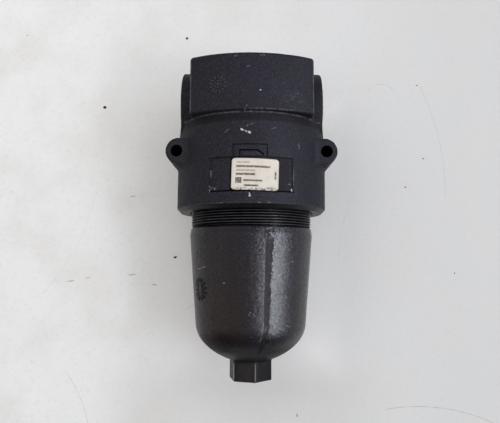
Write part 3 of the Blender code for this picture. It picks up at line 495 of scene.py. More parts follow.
def mesh_of_form(name, form, low, high, step):
    """Meshes the zero surface of a distance function, with its points moved onto that surface."""
    axes = [np.arange(a, b + step, step) for a, b in zip(low, high)]
    x, y, z = np.meshgrid(*axes, indexing="ij")
    grid = openvdb.FloatGrid(3 * step)
    grid.copyFromArray(np.clip(form(x, y, z), -3 * step, 3 * step))
    points, quads = grid.convertToQuads(isovalue=0)
    points = points.astype(float) * step + np.array(low)
    tiny = 0.01
    for _ in range(2):
        here = form(*points.T)
        slope = np.stack([(form(*(points + tiny * np.eye(3)[i]).T) - here) / tiny for i in range(3)], axis=1)
        steep = np.maximum(np.sum(slope * slope, axis=1), 0.25)
        points -= slope * np.clip(here / steep, -step / 2, step / 2)[:, None]
    return mesh_from(name, points, [tuple(q) for q in quads.tolist()])


# Head

def arrow_outline():
    neck = ARROW_HALF - ARROW_HEAD
    return [
        (-ARROW_HALF, ARROW_MIDDLE - ARROW_THICK), (neck, ARROW_MIDDLE - ARROW_THICK), (ARROW_HALF, ARROW_MIDDLE),
        (neck, ARROW_MIDDLE + ARROW_THICK), (-ARROW_HALF, ARROW_MIDDLE + ARROW_THICK),
        (-ARROW_HALF + ARROW_THICK / 2, ARROW_MIDDLE),
    ]


def arrow_frame():
    """The sunk field round the raised arrow, in two halves that meet at the arrow's tips."""
    left, right = ARROW_FRAME_LEFT, ARROW_FRAME_RIGHT
    low, top = RECESS_TOP - 1.0, ARROW_FRAME_TOP
    arrow = arrow_outline()
    tip, notch = arrow[2], arrow[5]
    outline = [
        (left, low), (left, top), (right, top), (right, low), (tip[0] - 1.9, low), tip,
        arrow[3], arrow[4], notch, (notch[0] - 0.75, low),
    ]
    return front_wall("arrow_frame", outline, ARROW_RADIUS, BODY_RADIUS + CUT_CLEAR)


def head_cutters():
    yield extrude_y("base_cut", [(-70, -6), (70, -6), (70, 0), (-70, 0)], -70, 70)
    yield extrude_y("pad_cut", [(-70, 30), (70, 30), (70, 60), (-70, 60)], PAD_Y, 70)
    mouth = THREAD_RADIUS + CHAMFER
    groove, collar = SPIGOT_RADIUS - SPIGOT_GROOVE_DEPTH, SPIGOT_RADIUS + SPIGOT_COLLAR
    yield lathe("bowl_bore", [
        (0, SPIGOT_END), (SPIGOT_RADIUS - 1, SPIGOT_END), (SPIGOT_RADIUS, SPIGOT_END + 1),
        (SPIGOT_RADIUS, SPIGOT_GROOVE_LOW), (groove, SPIGOT_GROOVE_LOW),
        (groove, SPIGOT_GROOVE_HIGH), (SPIGOT_RADIUS, SPIGOT_GROOVE_HIGH),
        (SPIGOT_RADIUS, SPIGOT_SHOULDER), (collar, SPIGOT_SHOULDER), (collar, CEILING),
        (SEAL_RADIUS, CEILING), (SEAL_RADIUS, SEAL_LOW), (THREAD_RADIUS, THREAD_END), (THREAD_RADIUS, CHAMFER),
        (mouth, 0), (mouth, -1), (0, -1),
    ], 144)
    yield lathe("spigot_bore", [(0, SPIGOT_END - 1), (SPIGOT_BORE, SPIGOT_END - 1), (SPIGOT_BORE, SPIGOT_BORE_END),
                                (0, SPIGOT_BORE_END)])
    floor = PORT_FACE - SPOT_DEPTH
    for side, name, inner in ((-1, "inlet", -INLET_END), (1, "outlet", OUTLET_END)):
        yield across(name + "_bore", [
            (0, PORT_FACE + 1), (SPOT_RADIUS, PORT_FACE + 1), (SPOT_RADIUS, floor), (TAP_RADIUS + CHAMFER, floor),
            (TAP_RADIUS, floor - CHAMFER), (TAP_RADIUS, PORT_FACE - TAP_DEPTH), (PASSAGE_RADIUS, PORT_FACE - TAP_DEPTH),
            (PASSAGE_RADIUS, inner), (0, inner),
        ], side, 96)
    for name, radius, low, high, centre in (
            ("inlet_drop", DROP_RADIUS, CEILING - 1, PORT_Z, (INLET_END - DROP_RADIUS, 0)),
            ("valve_hole", VALVE_HOLE_RADIUS, CEILING - 1, VALVE_HOLE_TOP, (VALVE_X, VALVE_Y)),
            ("valve_pocket", VALVE_POCKET_RADIUS, VALVE_POCKET_LOW, VALVE_POCKET_TOP, (VALVE_X, VALVE_Y))):
        yield lathe(name, [(0, low), (radius, low), (radius, high), (0, high)], 48, centre)
    yield lathe("plug_bore", [
        (0, BLOCK_TOP + 1), (PLUG_SEAT_RADIUS, BLOCK_TOP + 1), (PLUG_SEAT_RADIUS, PLUG_SEAT_Z),
        (PLUG_BORE_RADIUS, PLUG_SEAT_Z), (PLUG_BORE_RADIUS, PLUG_BORE_END), (0, PLUG_BORE_END),
    ], 48, (PLUG_X, PLUG_Y))
    for side in (-1, 1):
        centre = (side * LUG_HOLE_X, LUG_Z)
        ring = arc(centre, LUG_HOLE_RADIUS, 0, 360, 40)[:-1]
        yield extrude_y("lug_hole", ring, LUG_FRONT - 1, PAD_Y + 1)
    yield front_wall("label_recess", [
        (-RECESS_HALF, RECESS_LOW), (RECESS_HALF, RECESS_LOW), (RECESS_HALF, RECESS_TOP), (-RECESS_HALF, RECESS_TOP),
    ], RECESS_RADIUS, BODY_RADIUS + CUT_CLEAR)
    yield arrow_frame()


def head_surfaces(mesh):
    """Gives machined faces their own finish: 1 is a bare face and 2 is a bore."""
    x, y, z = ((read(mesh.polygons, "center") - ORIGIN) / MM).T
    _, ny, nz = read(mesh.polygons, "normal").T
    r = np.hypot(x, y)
    finish = np.zeros(len(x), dtype=np.int32)
    # The bottom face and its chamfer take the near-black bore finish, as painted shade under the ring
    finish[(z < 0.02) & (nz < -0.9)] = 2
    finish[(z < BODY_CHAMFER - 0.3) & (nz < -0.45) & (r > THREAD_RADIUS)] = 2
    finish[(r < THREAD_RADIUS + 1.6) & (z < CEILING + 0.1) & (z > 0.01)] = 2
    port = np.hypot(y, z - PORT_Z)
    finish[(np.abs(x) > PORT_FACE - 2.5) & (port < SPOT_RADIUS + 0.1)] = 1
    finish[(port < TAP_RADIUS + 0.1) & (np.abs(x) < PORT_FACE - 2.0)] = 2
    hole = np.hypot(np.abs(x) - LUG_HOLE_X, z - LUG_Z)
    finish[(hole < LUG_HOLE_RADIUS + 0.05) & (np.abs(ny) < 0.3)] = 2
    finish[(y > PAD_Y - 0.2) & (ny > 0.9)] = 1
    finish[(np.hypot(x - PLUG_X, y - PLUG_Y) < PLUG_SEAT_RADIUS + 0.1) & (z > 90)] = 2
    mesh.polygons.foreach_set("material_index", finish)


def block_surface(middle_x, middle_z):
    """Points on the port block's front, round one spot of it."""
    def point(u, v, height):
        turn = math.asin((middle_x + u) / BLOCK_BOW)
        reach = BLOCK_BOW + height
        return reach * math.sin(turn), BLOCK_BOW - BLOCK_CROWN - reach * math.cos(turn), middle_z + v

    return point


def make_head(paint, bare, bore):
    mesh = mesh_of_form("head_casting", head_form, (-67, -62, -5), (67, 64, 118), HEAD_VOXEL)
    roughen(mesh, [(14, 0.10), (5, 0.07), (1.8, 0.05)])
    head = new_object("head_casting", mesh)
    wheel = date_wheel("block_wheel", block_surface(WHEEL_X, WHEEL_Z), 1.2, (2.2, 2.8), (3.9, 6.3, 13), 1.0, 0.25)
    pip = date_wheel("block_pip", block_surface(PIP_X, PIP_Z), 0, (0.9, 1.7), (0, 0, 0), 0, 0.25)
    combine(head, [("DIFFERENCE", mesh) for mesh in head_cutters()] + [("UNION", wheel), ("UNION", pip)])
    head.data.materials.clear()
    for material in (paint, bare, bore):
        head.data.materials.append(material)
    head_surfaces(head.data)
    shade(head, 36)
    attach(head, "head")
    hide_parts("filter_head")


# Bowl

def limit(value):
    return max(0, min(1, value))


def wall_radius(z):
    """Radius of the bowl's tapered wall at a height."""
    return BOWL_RADIUS - (BOWL_WALL_Z - z) * math.tan(math.radians(BOWL_DRAFT))


def hex_radius(turn):
    """Reach of the rounded hexagon at an angle, in degrees from the front, positive to the right."""
    local = (turn - HEX_TURN + 30) % 60 - 30
    a = math.radians(30 - abs(local))
    flat = HEX_APOTHEM / math.cos(a)
    corner_middle = (HEX_APOTHEM - HEX_CORNER) / math.cos(math.radians(30))
    b = math.radians(local)
    reach = corner_middle * math.cos(b)
    inside = HEX_CORNER ** 2 - (corner_middle * math.sin(b)) ** 2
    if inside > 0 and abs(local) < math.degrees(math.atan(HEX_CORNER * math.sin(math.radians(30)) / HEX_APOTHEM)):
        return reach + math.sqrt(inside)
    return flat


def dome(radius, knuckle, crown, steps):
    """The rounded lower end of the bowl's wall, with the height and the direction where its crown goes on."""
    knuckle_x = radius - knuckle * math.cos(math.radians(BOWL_DRAFT))
    knuckle_z = BOWL_FOOT_Z + knuckle * math.sin(math.radians(BOWL_DRAFT))
    crown_z = knuckle_z + math.sqrt((crown - knuckle) ** 2 - knuckle_x ** 2)
    turn = math.degrees(math.atan2(knuckle_z - crown_z, knuckle_x))
    return arc((knuckle_x, knuckle_z), knuckle, -BOWL_DRAFT, turn, steps), crown_z, turn


def bowl_turns():
    """Angles of the columns round the bowl, closer together along the casting seam."""
    turns = [-180.0]
    while turns[-1] < 180.0 - 1e-6:
        turns.append(turns[-1] + (0.5 if abs(turns[-1] - SEAM_TURN) < 5.5 else 1.5))
    return turns[:-1]


def bowl_columns():
    """The bowl's outside below the thread, one list of (radius, height) for each angle."""
    foot_radius = wall_radius(BOWL_FOOT_Z)
    knuckle, crown_z, turn = dome(foot_radius, BOWL_KNUCKLE, BOWL_CROWN, 22)
    shoulder = arc((BOWL_SHOULDER_RADIUS - 1.1, BOWL_SHOULDER_Z - 1.2), 1.2, 90, 8, 4)
    wall_top = (BOWL_RADIUS, BOWL_WALL_Z)
    wall = [(BOWL_RADIUS + (foot_radius - BOWL_RADIUS) * i / 80,
             BOWL_WALL_Z + (BOWL_FOOT_Z - BOWL_WALL_Z) * i / 80) for i in range(80)]
    blend = [tuple(Vector(shoulder[-1]).lerp(Vector(wall_top), t)) for t in (0.25, 0.5, 0.75)]
    top = [(ROOT_RADIUS, BOWL_SHOULDER_Z)] + shoulder + blend + wall
    columns = []
    for angle in bowl_turns():
        reach = hex_radius(angle)
        fillet_x = reach + HEX_FILLET
        fillet_z = crown_z - math.sqrt((BOWL_CROWN + HEX_FILLET) ** 2 - fillet_x ** 2)
        touch = math.degrees(math.atan2(fillet_z - crown_z, fillet_x))
        crown = arc((0, crown_z), BOWL_CROWN, turn, touch, 22)[1:]
        fillet = arc((fillet_x, fillet_z), HEX_FILLET, touch + 180, 180, 6)[1:]
        side_low = HEX_LOW + HEX_EDGE
        side = [(reach, fillet_z + (side_low - fillet_z) * i / 10) for i in range(1, 11)]
        edge = arc((reach - HEX_EDGE, side_low), HEX_EDGE, 0, -90, 3)[1:]
        end = [(edge[-1][0] * (1 - t), HEX_LOW) for t in (0.25, 0.5, 0.75, 1.0)]
        columns.append(top + knuckle + crown + fillet + side + edge + end)
    return columns


def thread_rows(turn):
    """Heights and radii of one column of the thread. The rows climb round the bowl with the helix."""
    shape = [(0.0, 1), (THREAD_CREST, 1), (THREAD_CREST + THREAD_FLANK, 0.5), (THREAD_ROOT[0], 0), (THREAD_ROOT[1], 0),
             (THREAD_PITCH - THREAD_FLANK, 0.5)]
    rows = []
    low, high = BOWL_SHOULDER_Z, THREAD_TOP
    lead = (turn + 180) / 360 * THREAD_PITCH
    first = low - THREAD_PITCH
    turns = int((high - first) / THREAD_PITCH) + 1
    for i in range(turns + 1):
        for offset, height in shape:
            z = first + i * THREAD_PITCH + offset + lead
            if z < low - THREAD_PITCH * 1e-9 or z > high:
                z = min(max(z, low), high)
                rows.append((ROOT_RADIUS, z))
                continue
            fade = limit(min((z - low - 0.5) / 0.6, (high - z) / 1.6))
            rows.append((ROOT_RADIUS + (CREST_RADIUS - ROOT_RADIUS) * height * fade, z))
    return rows


def bowl_surface(u, v, height):
    """Points on the bowl's wall, round the foundry mark."""
    z = MARK_Z + v
    reach = wall_radius(z) + height
    turn = math.radians(MARK_TURN) + u / MARK_REACH
    return reach * math.sin(turn), -reach * math.cos(turn), z


def grind_seam(mesh):
    """Flattens the strip down the bowl's front where the casting's seam was ground off."""
    for vertex in mesh.vertices:
        x, y, z = vertex.co / MM - Vector((0, AXIS_Y, BASE_Z))
        if z > BOWL_SHOULDER_Z - 2 or z < -108 or y > -12:
            continue
        turn = math.degrees(math.atan2(x, -y))
        drift = 5 * limit((-86 - z) / 20)
        right = 17.6 + 1.7 * limit((z + 54) / 32) - drift
        right += 2.6 * noise.noise(Vector((x, y, z)) / 2.2)
        inward = limit(min(turn - (SEAM_TURN - 2.4 - drift), right - turn) / 0.8)
        inward *= limit((-18 - z) / 4) * limit((z + 106) / 8)
        flat = Vector((x, y, 0)).normalized() * (SEAM_DEPTH * inward * inward * (3 - 2 * inward))
        vertex.co -= flat * MM


def make_bowl(paint, thread, bare):
    turns = bowl_turns()
    points, faces, finish = [], [], []

    def add_grid(columns, kind):
        """Joins columns of (radius, height) points into quads of one finish, all the way round."""
        quads = grid_faces(len(points), len(columns), len(columns[0]))
        faces.extend(quads)
        finish.extend([kind] * len(quads))
        for angle, column in zip(turns + [180.0], columns):
            a = math.radians(angle)
            points.extend((r * math.sin(a), -r * math.cos(a), z) for r, z in column)

    outside = bowl_columns()
    add_grid(outside + outside[:1], 0)
    add_grid([thread_rows(angle) for angle in turns + [180.0]], 1)
    top = [
        (ROOT_RADIUS, THREAD_TOP), (LAND_RADIUS, THREAD_TOP + 1.0), (LAND_RADIUS, GROOVE_LOW),
        (GROOVE_RADIUS, GROOVE_LOW), (GROOVE_RADIUS, GROOVE_HIGH), (LAND_RADIUS, GROOVE_HIGH),
        (LAND_RADIUS, LIP_Z - 0.65), (LAND_RADIUS - 0.65, LIP_Z), (BOWL_MOUTH + 0.5, LIP_Z),
        (BOWL_MOUTH, LIP_Z - 0.5), (BOWL_MOUTH, BOWL_WALL_Z),
    ]
    add_grid([top] * (len(turns) + 1), 2)
    foot_radius = wall_radius(BOWL_FOOT_Z)
    knuckle, crown_z, turn = dome(foot_radius - BOWL_WALL, BOWL_KNUCKLE - BOWL_WALL, BOWL_CROWN - BOWL_WALL, 8)
    inside = [(BOWL_MOUTH, BOWL_WALL_Z)] + knuckle
    inside += arc((0, crown_z), BOWL_CROWN - BOWL_WALL, turn, -90, 10)[1:]
    inside[-1] = (0.0, inside[-1][1])
    add_grid([inside] * (len(turns) + 1), 0)

    def cast_only(points):
        x, y, z = ((points - ORIGIN) / MM).T
        outside = (z < BOWL_SHOULDER_Z - 1.5) & (np.hypot(x, y) > BOWL_MOUTH - 6)
        return np.where(outside | (z < -112), 1.0, 0.0)

    mesh = mesh_from("bowl_shell", points, faces, 0.004, 0.001, finish)
    grind_seam(mesh)
    roughen(mesh, [(16, 0.10), (5, 0.05)], cast_only)
    bowl = new_object("bowl_shell", mesh, (paint, thread, bare))
    mark = date_wheel("bowl_wheel", bowl_surface, 2.9, (3.9, 4.5), (5.4, 8.2, 12), 1.5)
    mark.materials.append(paint)
    combine(bowl, [("UNION", mark)])
    shade(bowl, 32)
    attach(bowl, "bowl")
    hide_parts("filter_bowl")


# Label

def make_label(sticker):
    lean = math.radians(LABEL_TURN)
    outline = []
    for cx, cz, start in ((1, -1, -90), (1, 1, 0), (-1, 1, 90), (-1, -1, 180)):
        middle = (cx * (LABEL_HALF - LABEL_CORNER), cz * (LABEL_RISE - LABEL_CORNER))
        for x, z in arc(middle, LABEL_CORNER, start, start + 90, 8):
            outline.append((LABEL_X + x * math.cos(lean) + z * math.sin(lean),
                            LABEL_Z - x * math.sin(lean) + z * math.cos(lean)))
    label = new_object("label_sheet", front_wall("label_sheet", outline, LABEL_INNER, LABEL_OUTER), (sticker,))
    shade(label, 30)
    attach(label, "head")
    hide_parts("name_label")


def make_spring(steel):
    """The bypass valve's spring."""
    box_low, box_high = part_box("bypass_spring")
    low = box_low[2] / MM - BASE_Z + SPRING_WIRE
    high = box_high[2] / MM - BASE_Z - SPRING_WIRE
    per_turn, sides = 32, 12
    total = round(SPRING_TURNS * per_turn)
    flat = per_turn // 2
    points = []
    for i in range(total + 1):
        a = math.tau * i / per_turn
        climb = min(max((i - flat) / (total - 2 * flat), 0), 1)
        middle = low + (high - low) * climb
        for reach, rise in arc((SPRING_RADIUS, middle), SPRING_WIRE, 0, 360, sides)[:-1]:
            points.append((VALVE_X + reach * math.cos(a), VALVE_Y + reach * math.sin(a), rise))
    faces = grid_faces(0, total + 1, sides, closed=True)
    faces += [tuple(range(sides)), tuple(range(total * sides, (total + 1) * sides))]
    spring = new_object("bypass_coil", mesh_from("bypass_coil", points, faces), (steel,))
    shade(spring, 40)
    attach(spring, "head")
    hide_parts("bypass_spring")
    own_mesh(spring)


# Materials

class Nodes:
    """Short ways to add nodes to one tree."""

    def __init__(self, tree):
        self.tree = tree

    def node(self, kind, inputs=None, **settings):
        made = self.tree.nodes.new(kind)
        for key, value in settings.items():
            setattr(made, key, value)
        for key, value in (inputs or {}).items():
            self.feed(made.inputs[key], value)
        return made

    def feed(self, socket, value):
        if isinstance(value, bpy.types.NodeSocket):
            self.tree.links.new(value, socket)
        elif socket.type == "RGBA":
            socket.default_value = (*value[:3], 1)
        else:
            socket.default_value = value

    def mix(self, factor, a, b, blend="MIX"):
        made = self.node("ShaderNodeMix", data_type="RGBA", blend_type=blend)
        first, second = (s for s in made.inputs if s.type == "RGBA")
        for socket, value in ((made.inputs[0], factor), (first, a), (second, b)):
            self.feed(socket, value)
        return next(s for s in made.outputs if s.type == "RGBA")


class Finish(Nodes):
    """One material's node tree. Positions inside it are millimetres in the filter's own frame."""

    def __init__(self, name):
        self.material = bpy.data.materials.new(name)
        self.material.use_nodes = True
        super().__init__(self.material.node_tree)
        self.shader = self.tree.nodes["Principled BSDF"]
        coords = self.node("ShaderNodeTexCoord").outputs["Object"]
        scaled = self.vector("MULTIPLY", coords, (1000, 1000, 1000))
        self.here = self.vector("ADD", scaled, (0, -AXIS_Y, -BASE_Z))
        self.parts = self.node("ShaderNodeSeparateXYZ", {0: self.here}).outputs
        self.shaken = None
        self.base = None

    def math(self, operation, *values):
        return self.node("ShaderNodeMath", dict(enumerate(values)), operation=operation).outputs[0]

    def vector(self, operation, *values, result=0):
        return self.node("ShaderNodeVectorMath", dict(enumerate(values)), operation=operation).outputs[result]

    def plus(self, a, b):
        return self.math("ADD", a, b)

    def less(self, a, b):
        return self.math("SUBTRACT", a, b)

    def both(self, *masks):
        result = masks[0]
        for mask in masks[1:]:
            result = self.math("MULTIPLY", result, mask)
        return result

    def any(self, masks):
        result = masks[0]
        for mask in masks[1:]:
            result = self.math("MAXIMUM", result, mask)
        return result

    def noise(self, size, detail=2.0, roughness=0.5, stretch=None):
        """Noise whose lumps are about size millimetres across."""
        vector = self.vector("MULTIPLY", self.here, stretch) if stretch else self.here
        return self.node("ShaderNodeTexNoise", {
            "Vector": vector, "Scale": 1 / size, "Detail": detail, "Roughness": roughness,
        }).outputs["Fac"]

    def spread(self, value, low, high, to_low=0.0, to_high=1.0, smooth=True):
        return self.node("ShaderNodeMapRange", {
            "Value": value, "From Min": low, "From Max": high, "To Min": to_low, "To Max": to_high,
        }, interpolation_type="SMOOTHSTEP" if smooth else "LINEAR").outputs["Result"]

    def grained(self, grain, low, high):
        """A value that follows a noise, for roughness."""
        return self.spread(grain, 0.3, 0.7, low, high)

    def slab(self, value, low, high, soft):
        """1 where a value lies between two limits."""
        return self.both(self.spread(value, low - soft, low + soft), self.spread(value, high + soft, high - soft))

    def far(self, u, v):
        return self.math("SQRT", self.plus(self.both(u, u), self.both(v, v)))

    def box(self, u, v, left, right, low, high):
        """Signed distance to a rectangle's border, negative inside."""
        sides = [self.less(self.math("ABSOLUTE", self.less(value, (start + end) / 2)), (end - start) / 2)
                 for value, start, end in ((u, left, right), (v, low, high))]
        return self.any(sides)

    def angle(self):
        """Degrees round the axis from the front, positive to the right."""
        return self.math("DEGREES", self.math("ARCTAN2", self.parts["X"], self.both(self.parts["Y"], -1.0)))

    def radius(self):
        return self.vector("LENGTH", self.vector("MULTIPLY", self.here, (1, 1, 0)), result="Value")

    def on_label(self):
        """Positions along and up the sticker, in millimetres from its middle."""
        lean = math.radians(LABEL_TURN)
        x, z = self.less(self.parts["X"], LABEL_X), self.less(self.parts["Z"], LABEL_Z)
        u = self.less(self.both(x, math.cos(lean)), self.both(z, math.sin(lean)))
        return u, self.plus(self.both(x, math.sin(lean)), self.both(z, math.cos(lean)))

    def wobbled(self):
        """Positions shaken by fine noise, so that marks have ragged edges."""
        if not self.shaken:
            shake = self.node("ShaderNodeTexNoise", {"Vector": self.here, "Scale": 1.1, "Detail": 2.0}).outputs["Color"]
            centred = self.vector("SUBTRACT", shake, (0.5, 0.5, 0.5))
            self.shaken = self.vector("MULTIPLY_ADD", centred, (1.4, 0, 1.4), self.here)
        return self.shaken

    def spot(self, x, z, long, wide, turn=0.0):
        """1 inside an ellipse on the front, 0 outside it. turn is in degrees, anticlockwise as seen from the front."""
        local = self.node("ShaderNodeMapping", {
            "Vector": self.wobbled(), "Location": (x, 0, z), "Rotation": (0, math.radians(-turn), 0),
            "Scale": (long, 1e6, wide),
        }, vector_type="TEXTURE").outputs[0]
        return self.spread(self.vector("LENGTH", local, result="Value"), 1.0, 0.7)

    def spots(self, places):
        return self.any([self.spot(*place_and_size) for place_and_size in places])

    def wheel(self, u, v, core, inner, outer, ticks):
        """A foundry's date wheel without figures: a core, a ring and a crown of ticks. Returns a height from 0 to 1."""
        reach = self.far(u, v)
        around = self.math("SINE", self.both(self.math("ARCTAN2", v, u), float(ticks)))
        crown = self.both(self.slab(reach, inner, outer, 0.3), self.spread(around, -0.1, 0.6))
        ring = self.slab(reach, core + 0.9, core + 1.5, 0.25)
        return self.any([crown, ring, self.spread(reach, core, core - 0.5)])

    def tone(self, factor, a, b):
        return self.mix(factor, linear(*a), linear(*b))

    def coat(self, colour, *masks):
        """Lays a colour over the base where all the masks meet."""
        over = colour if isinstance(colour, bpy.types.NodeSocket) else linear(*colour)
        self.base = self.mix(self.both(*masks), self.base, over)

    def bump(self, *layers):
        """A normal from layers of height and depth, the depth in millimetres."""
        normal = None
        for height, depth in layers:
            made = self.node("ShaderNodeBump", {"Height": height, "Strength": 1.0, "Distance": depth * MM})
            if normal is not None:
                self.feed(made.inputs["Normal"], normal)
            normal = made.outputs["Normal"]
        return normal

    def set(self, **values):
        for name, value in {"Base_Color": self.base, **values}.items():
            self.feed(self.shader.inputs[name.replace("_", " ")], value)
        return self.material


def linear(red, green, blue):
    """A colour given as it shows on a screen, from 0 to 255."""
    return tuple((c / 255 / 12.92) if c <= 10 else ((c / 255 + 0.055) / 1.055) ** 2.4 for c in (red, green, blue))


def head_paint():
    f = Finish("head_cast_paint")
    x, y, z = (f.parts[axis] for axis in "XYZ")
    front = f.spread(y, -6, -10)
    reach = f.radius()
    cloud, mottle = f.noise(22, 3), f.noise(3.2, 4, 0.65)
    speck, grain = f.noise(1.0, 3, 0.6), f.noise(0.55, 3, 0.6)

    f.base = f.tone(f.spread(cloud, 0.35, 0.65), (37, 36, 44), (41, 40, 51))
    # Painted warm light on the left side of the head
    f.coat((38, 36, 38), f.spread(x, 15, -40, 0, 0.75))
    f.coat((42, 41, 55), f.spread(mottle, 0.42, 0.72, 0, 0.5))
    f.coat((58, 58, 68), f.spread(speck, 0.5, 0.72, 0, 0.8))
    f.coat((12, 12, 15), f.spread(speck, 0.48, 0.3, 0, 0.7))

    # Painted shade along the recess's top and sides, round the sticker and round the arrow; grime and painted shade
    # along its bottom edge
    recess = f.box(x, z, -RECESS_HALF, RECESS_HALF, RECESS_LOW, RECESS_TOP)
    u, v = f.on_label()
    label = f.box(u, v, -LABEL_HALF - 0.35, LABEL_HALF - 0.35, -LABEL_RISE - 0.3, LABEL_RISE - 0.3)
    field = f.box(x, z, ARROW_FRAME_LEFT, ARROW_FRAME_RIGHT, RECESS_TOP, ARROW_FRAME_TOP)
    crest, neck, slope = ARROW_MIDDLE + ARROW_THICK, ARROW_HALF - ARROW_HEAD, ARROW_THICK / ARROW_HEAD
    tip_line = f.less(f.plus(z, f.both(x, slope)), crest + neck * slope)
    grime_and_shade = f.both(front, f.any([
        f.both(f.slab(recess, -0.5, 0.1, 0.3), 0.25),
        f.both(f.slab(z, RECESS_TOP - 0.5, RECESS_TOP + 0.3, 0.3), f.spread(recess, 0.9, 0.5), 0.5),
        f.both(f.slab(z, RECESS_LOW - 0.3, RECESS_LOW + 0.9, 0.35), f.spread(recess, 0.6, 0.2)),
        f.both(f.spread(label, 1.0, 0.4), 0.85),
        f.both(f.slab(field, -0.5, 0.15, 0.3), f.spread(z, RECESS_TOP - 0.2, RECESS_TOP + 0.4), 0.65),
        f.both(f.slab(x, -ARROW_HALF - 0.4, -ARROW_HALF + 0.3, 0.25), f.slab(z, ARROW_MIDDLE - ARROW_THICK, crest, 0.3),
               0.8),
        f.both(f.slab(z, crest - 0.5, crest + 0.7, 0.25), f.slab(x, -ARROW_HALF - 0.3, neck + 0.4, 0.3)),
        f.both(f.slab(tip_line, -0.7, 0.9, 0.3), f.slab(x, neck, ARROW_HALF + 0.4, 0.3),
               f.spread(z, ARROW_MIDDLE - 0.6, ARROW_MIDDLE)),
    ]))
    f.coat((4, 4, 5), grime_and_shade)
    # Darker in the recess to the right of the sticker
    f.coat((24, 23, 27), front, f.slab(x, LABEL_X + LABEL_HALF - 1, RECESS_HALF - 3.0, 0.8),
           f.slab(z, RECESS_LOW + 0.8, RECESS_TOP - 0.8, 0.5), 0.8)
    # Painted shade under the body's lip, where the port block overhangs it
    f.coat((20, 19, 21), f.slab(z, 61.5, 66.8, 1.2), f.spread(reach, 55, 56), f.spread(reach, 59.6, 59.0), 0.7)

    # Edges where the paint is thin, painted lighter also as painted highlights along them
    lip = f.both(f.slab(z, 67.3, 68.5, 0.3), f.slab(reach, 55.6, 58.0, 0.2), 0.75)
    corner = f.both(f.slab(f.math("ABSOLUTE", x), 44.4, 45.9, 0.25), f.spread(y, -45.0, -46.2),
                    f.slab(z, 70, 109, 1.0), 0.8)
    block_edge = f.both(f.slab(z, 68.9, 69.7, 0.25), f.spread(y, -52, -54), f.spread(reach, 58.6, 59.0),
                        f.spread(x, -8, 6), 0.6)
    ring_edge = f.both(f.slab(z, 2.5, 3.4, 0.25), f.spread(reach, 58, 58.4), 0.35)
    f.coat((98, 97, 102), f.any([lip, corner, block_edge, ring_edge]), f.spread(f.noise(2.4, 3, 0.6), 0.3, 0.6))

    # Scuffs, scratches and chips down to the metal
    f.coat((122, 121, 126), front, f.spots(HEAD_SCUFFS), f.spread(speck, 0.35, 0.6, 0.15, 0.75))
    # Fine scratches on the port block's right, painted light and bluish also as a painted sheen
    f.coat((84, 84, 96), front, f.spot(30.0, 78.0, 9.0, 8.0),
           f.spread(f.noise(1.6, 2, 0.5, (0.18, 1.0, 1.6)), 0.52, 0.66), 0.4)
    bare = f.both(front, f.spots(HEAD_CHIPS), f.spread(speck, 0.3, 0.5, 0.35, 1.0))
    f.coat((196, 196, 194), bare)

    # Cast marks on the port block
    wheel = f.wheel(f.less(x, WHEEL_X), f.less(z, WHEEL_Z), 1.3, 3.9, 6.4, 13)
    pip = f.both(f.spot(PIP_X, PIP_Z, 1.7, 1.7), f.less(1.0, f.spot(PIP_X, PIP_Z, 0.9, 0.9)))
    f.coat((74, 73, 76), f.any([wheel, pip]), f.spread(y, -49, -51), f.spread(mottle, 0.3, 0.5, 0.45, 1.0), 0.5)

    return f.set(
        Specular_IOR_Level=f.spread(grime_and_shade, 0.0, 1.0, 0.12, 0.01, smooth=False),
        Roughness=f.plus(f.grained(mottle, 0.54, 0.66), f.grained(grain, -0.06, 0.06)),
        Normal=f.bump((f.noise(2.2, 4, 0.6), 0.28), (speck, 0.15), (grain, 0.09), (f.both(bare, -0.4), 0.35)),
    )


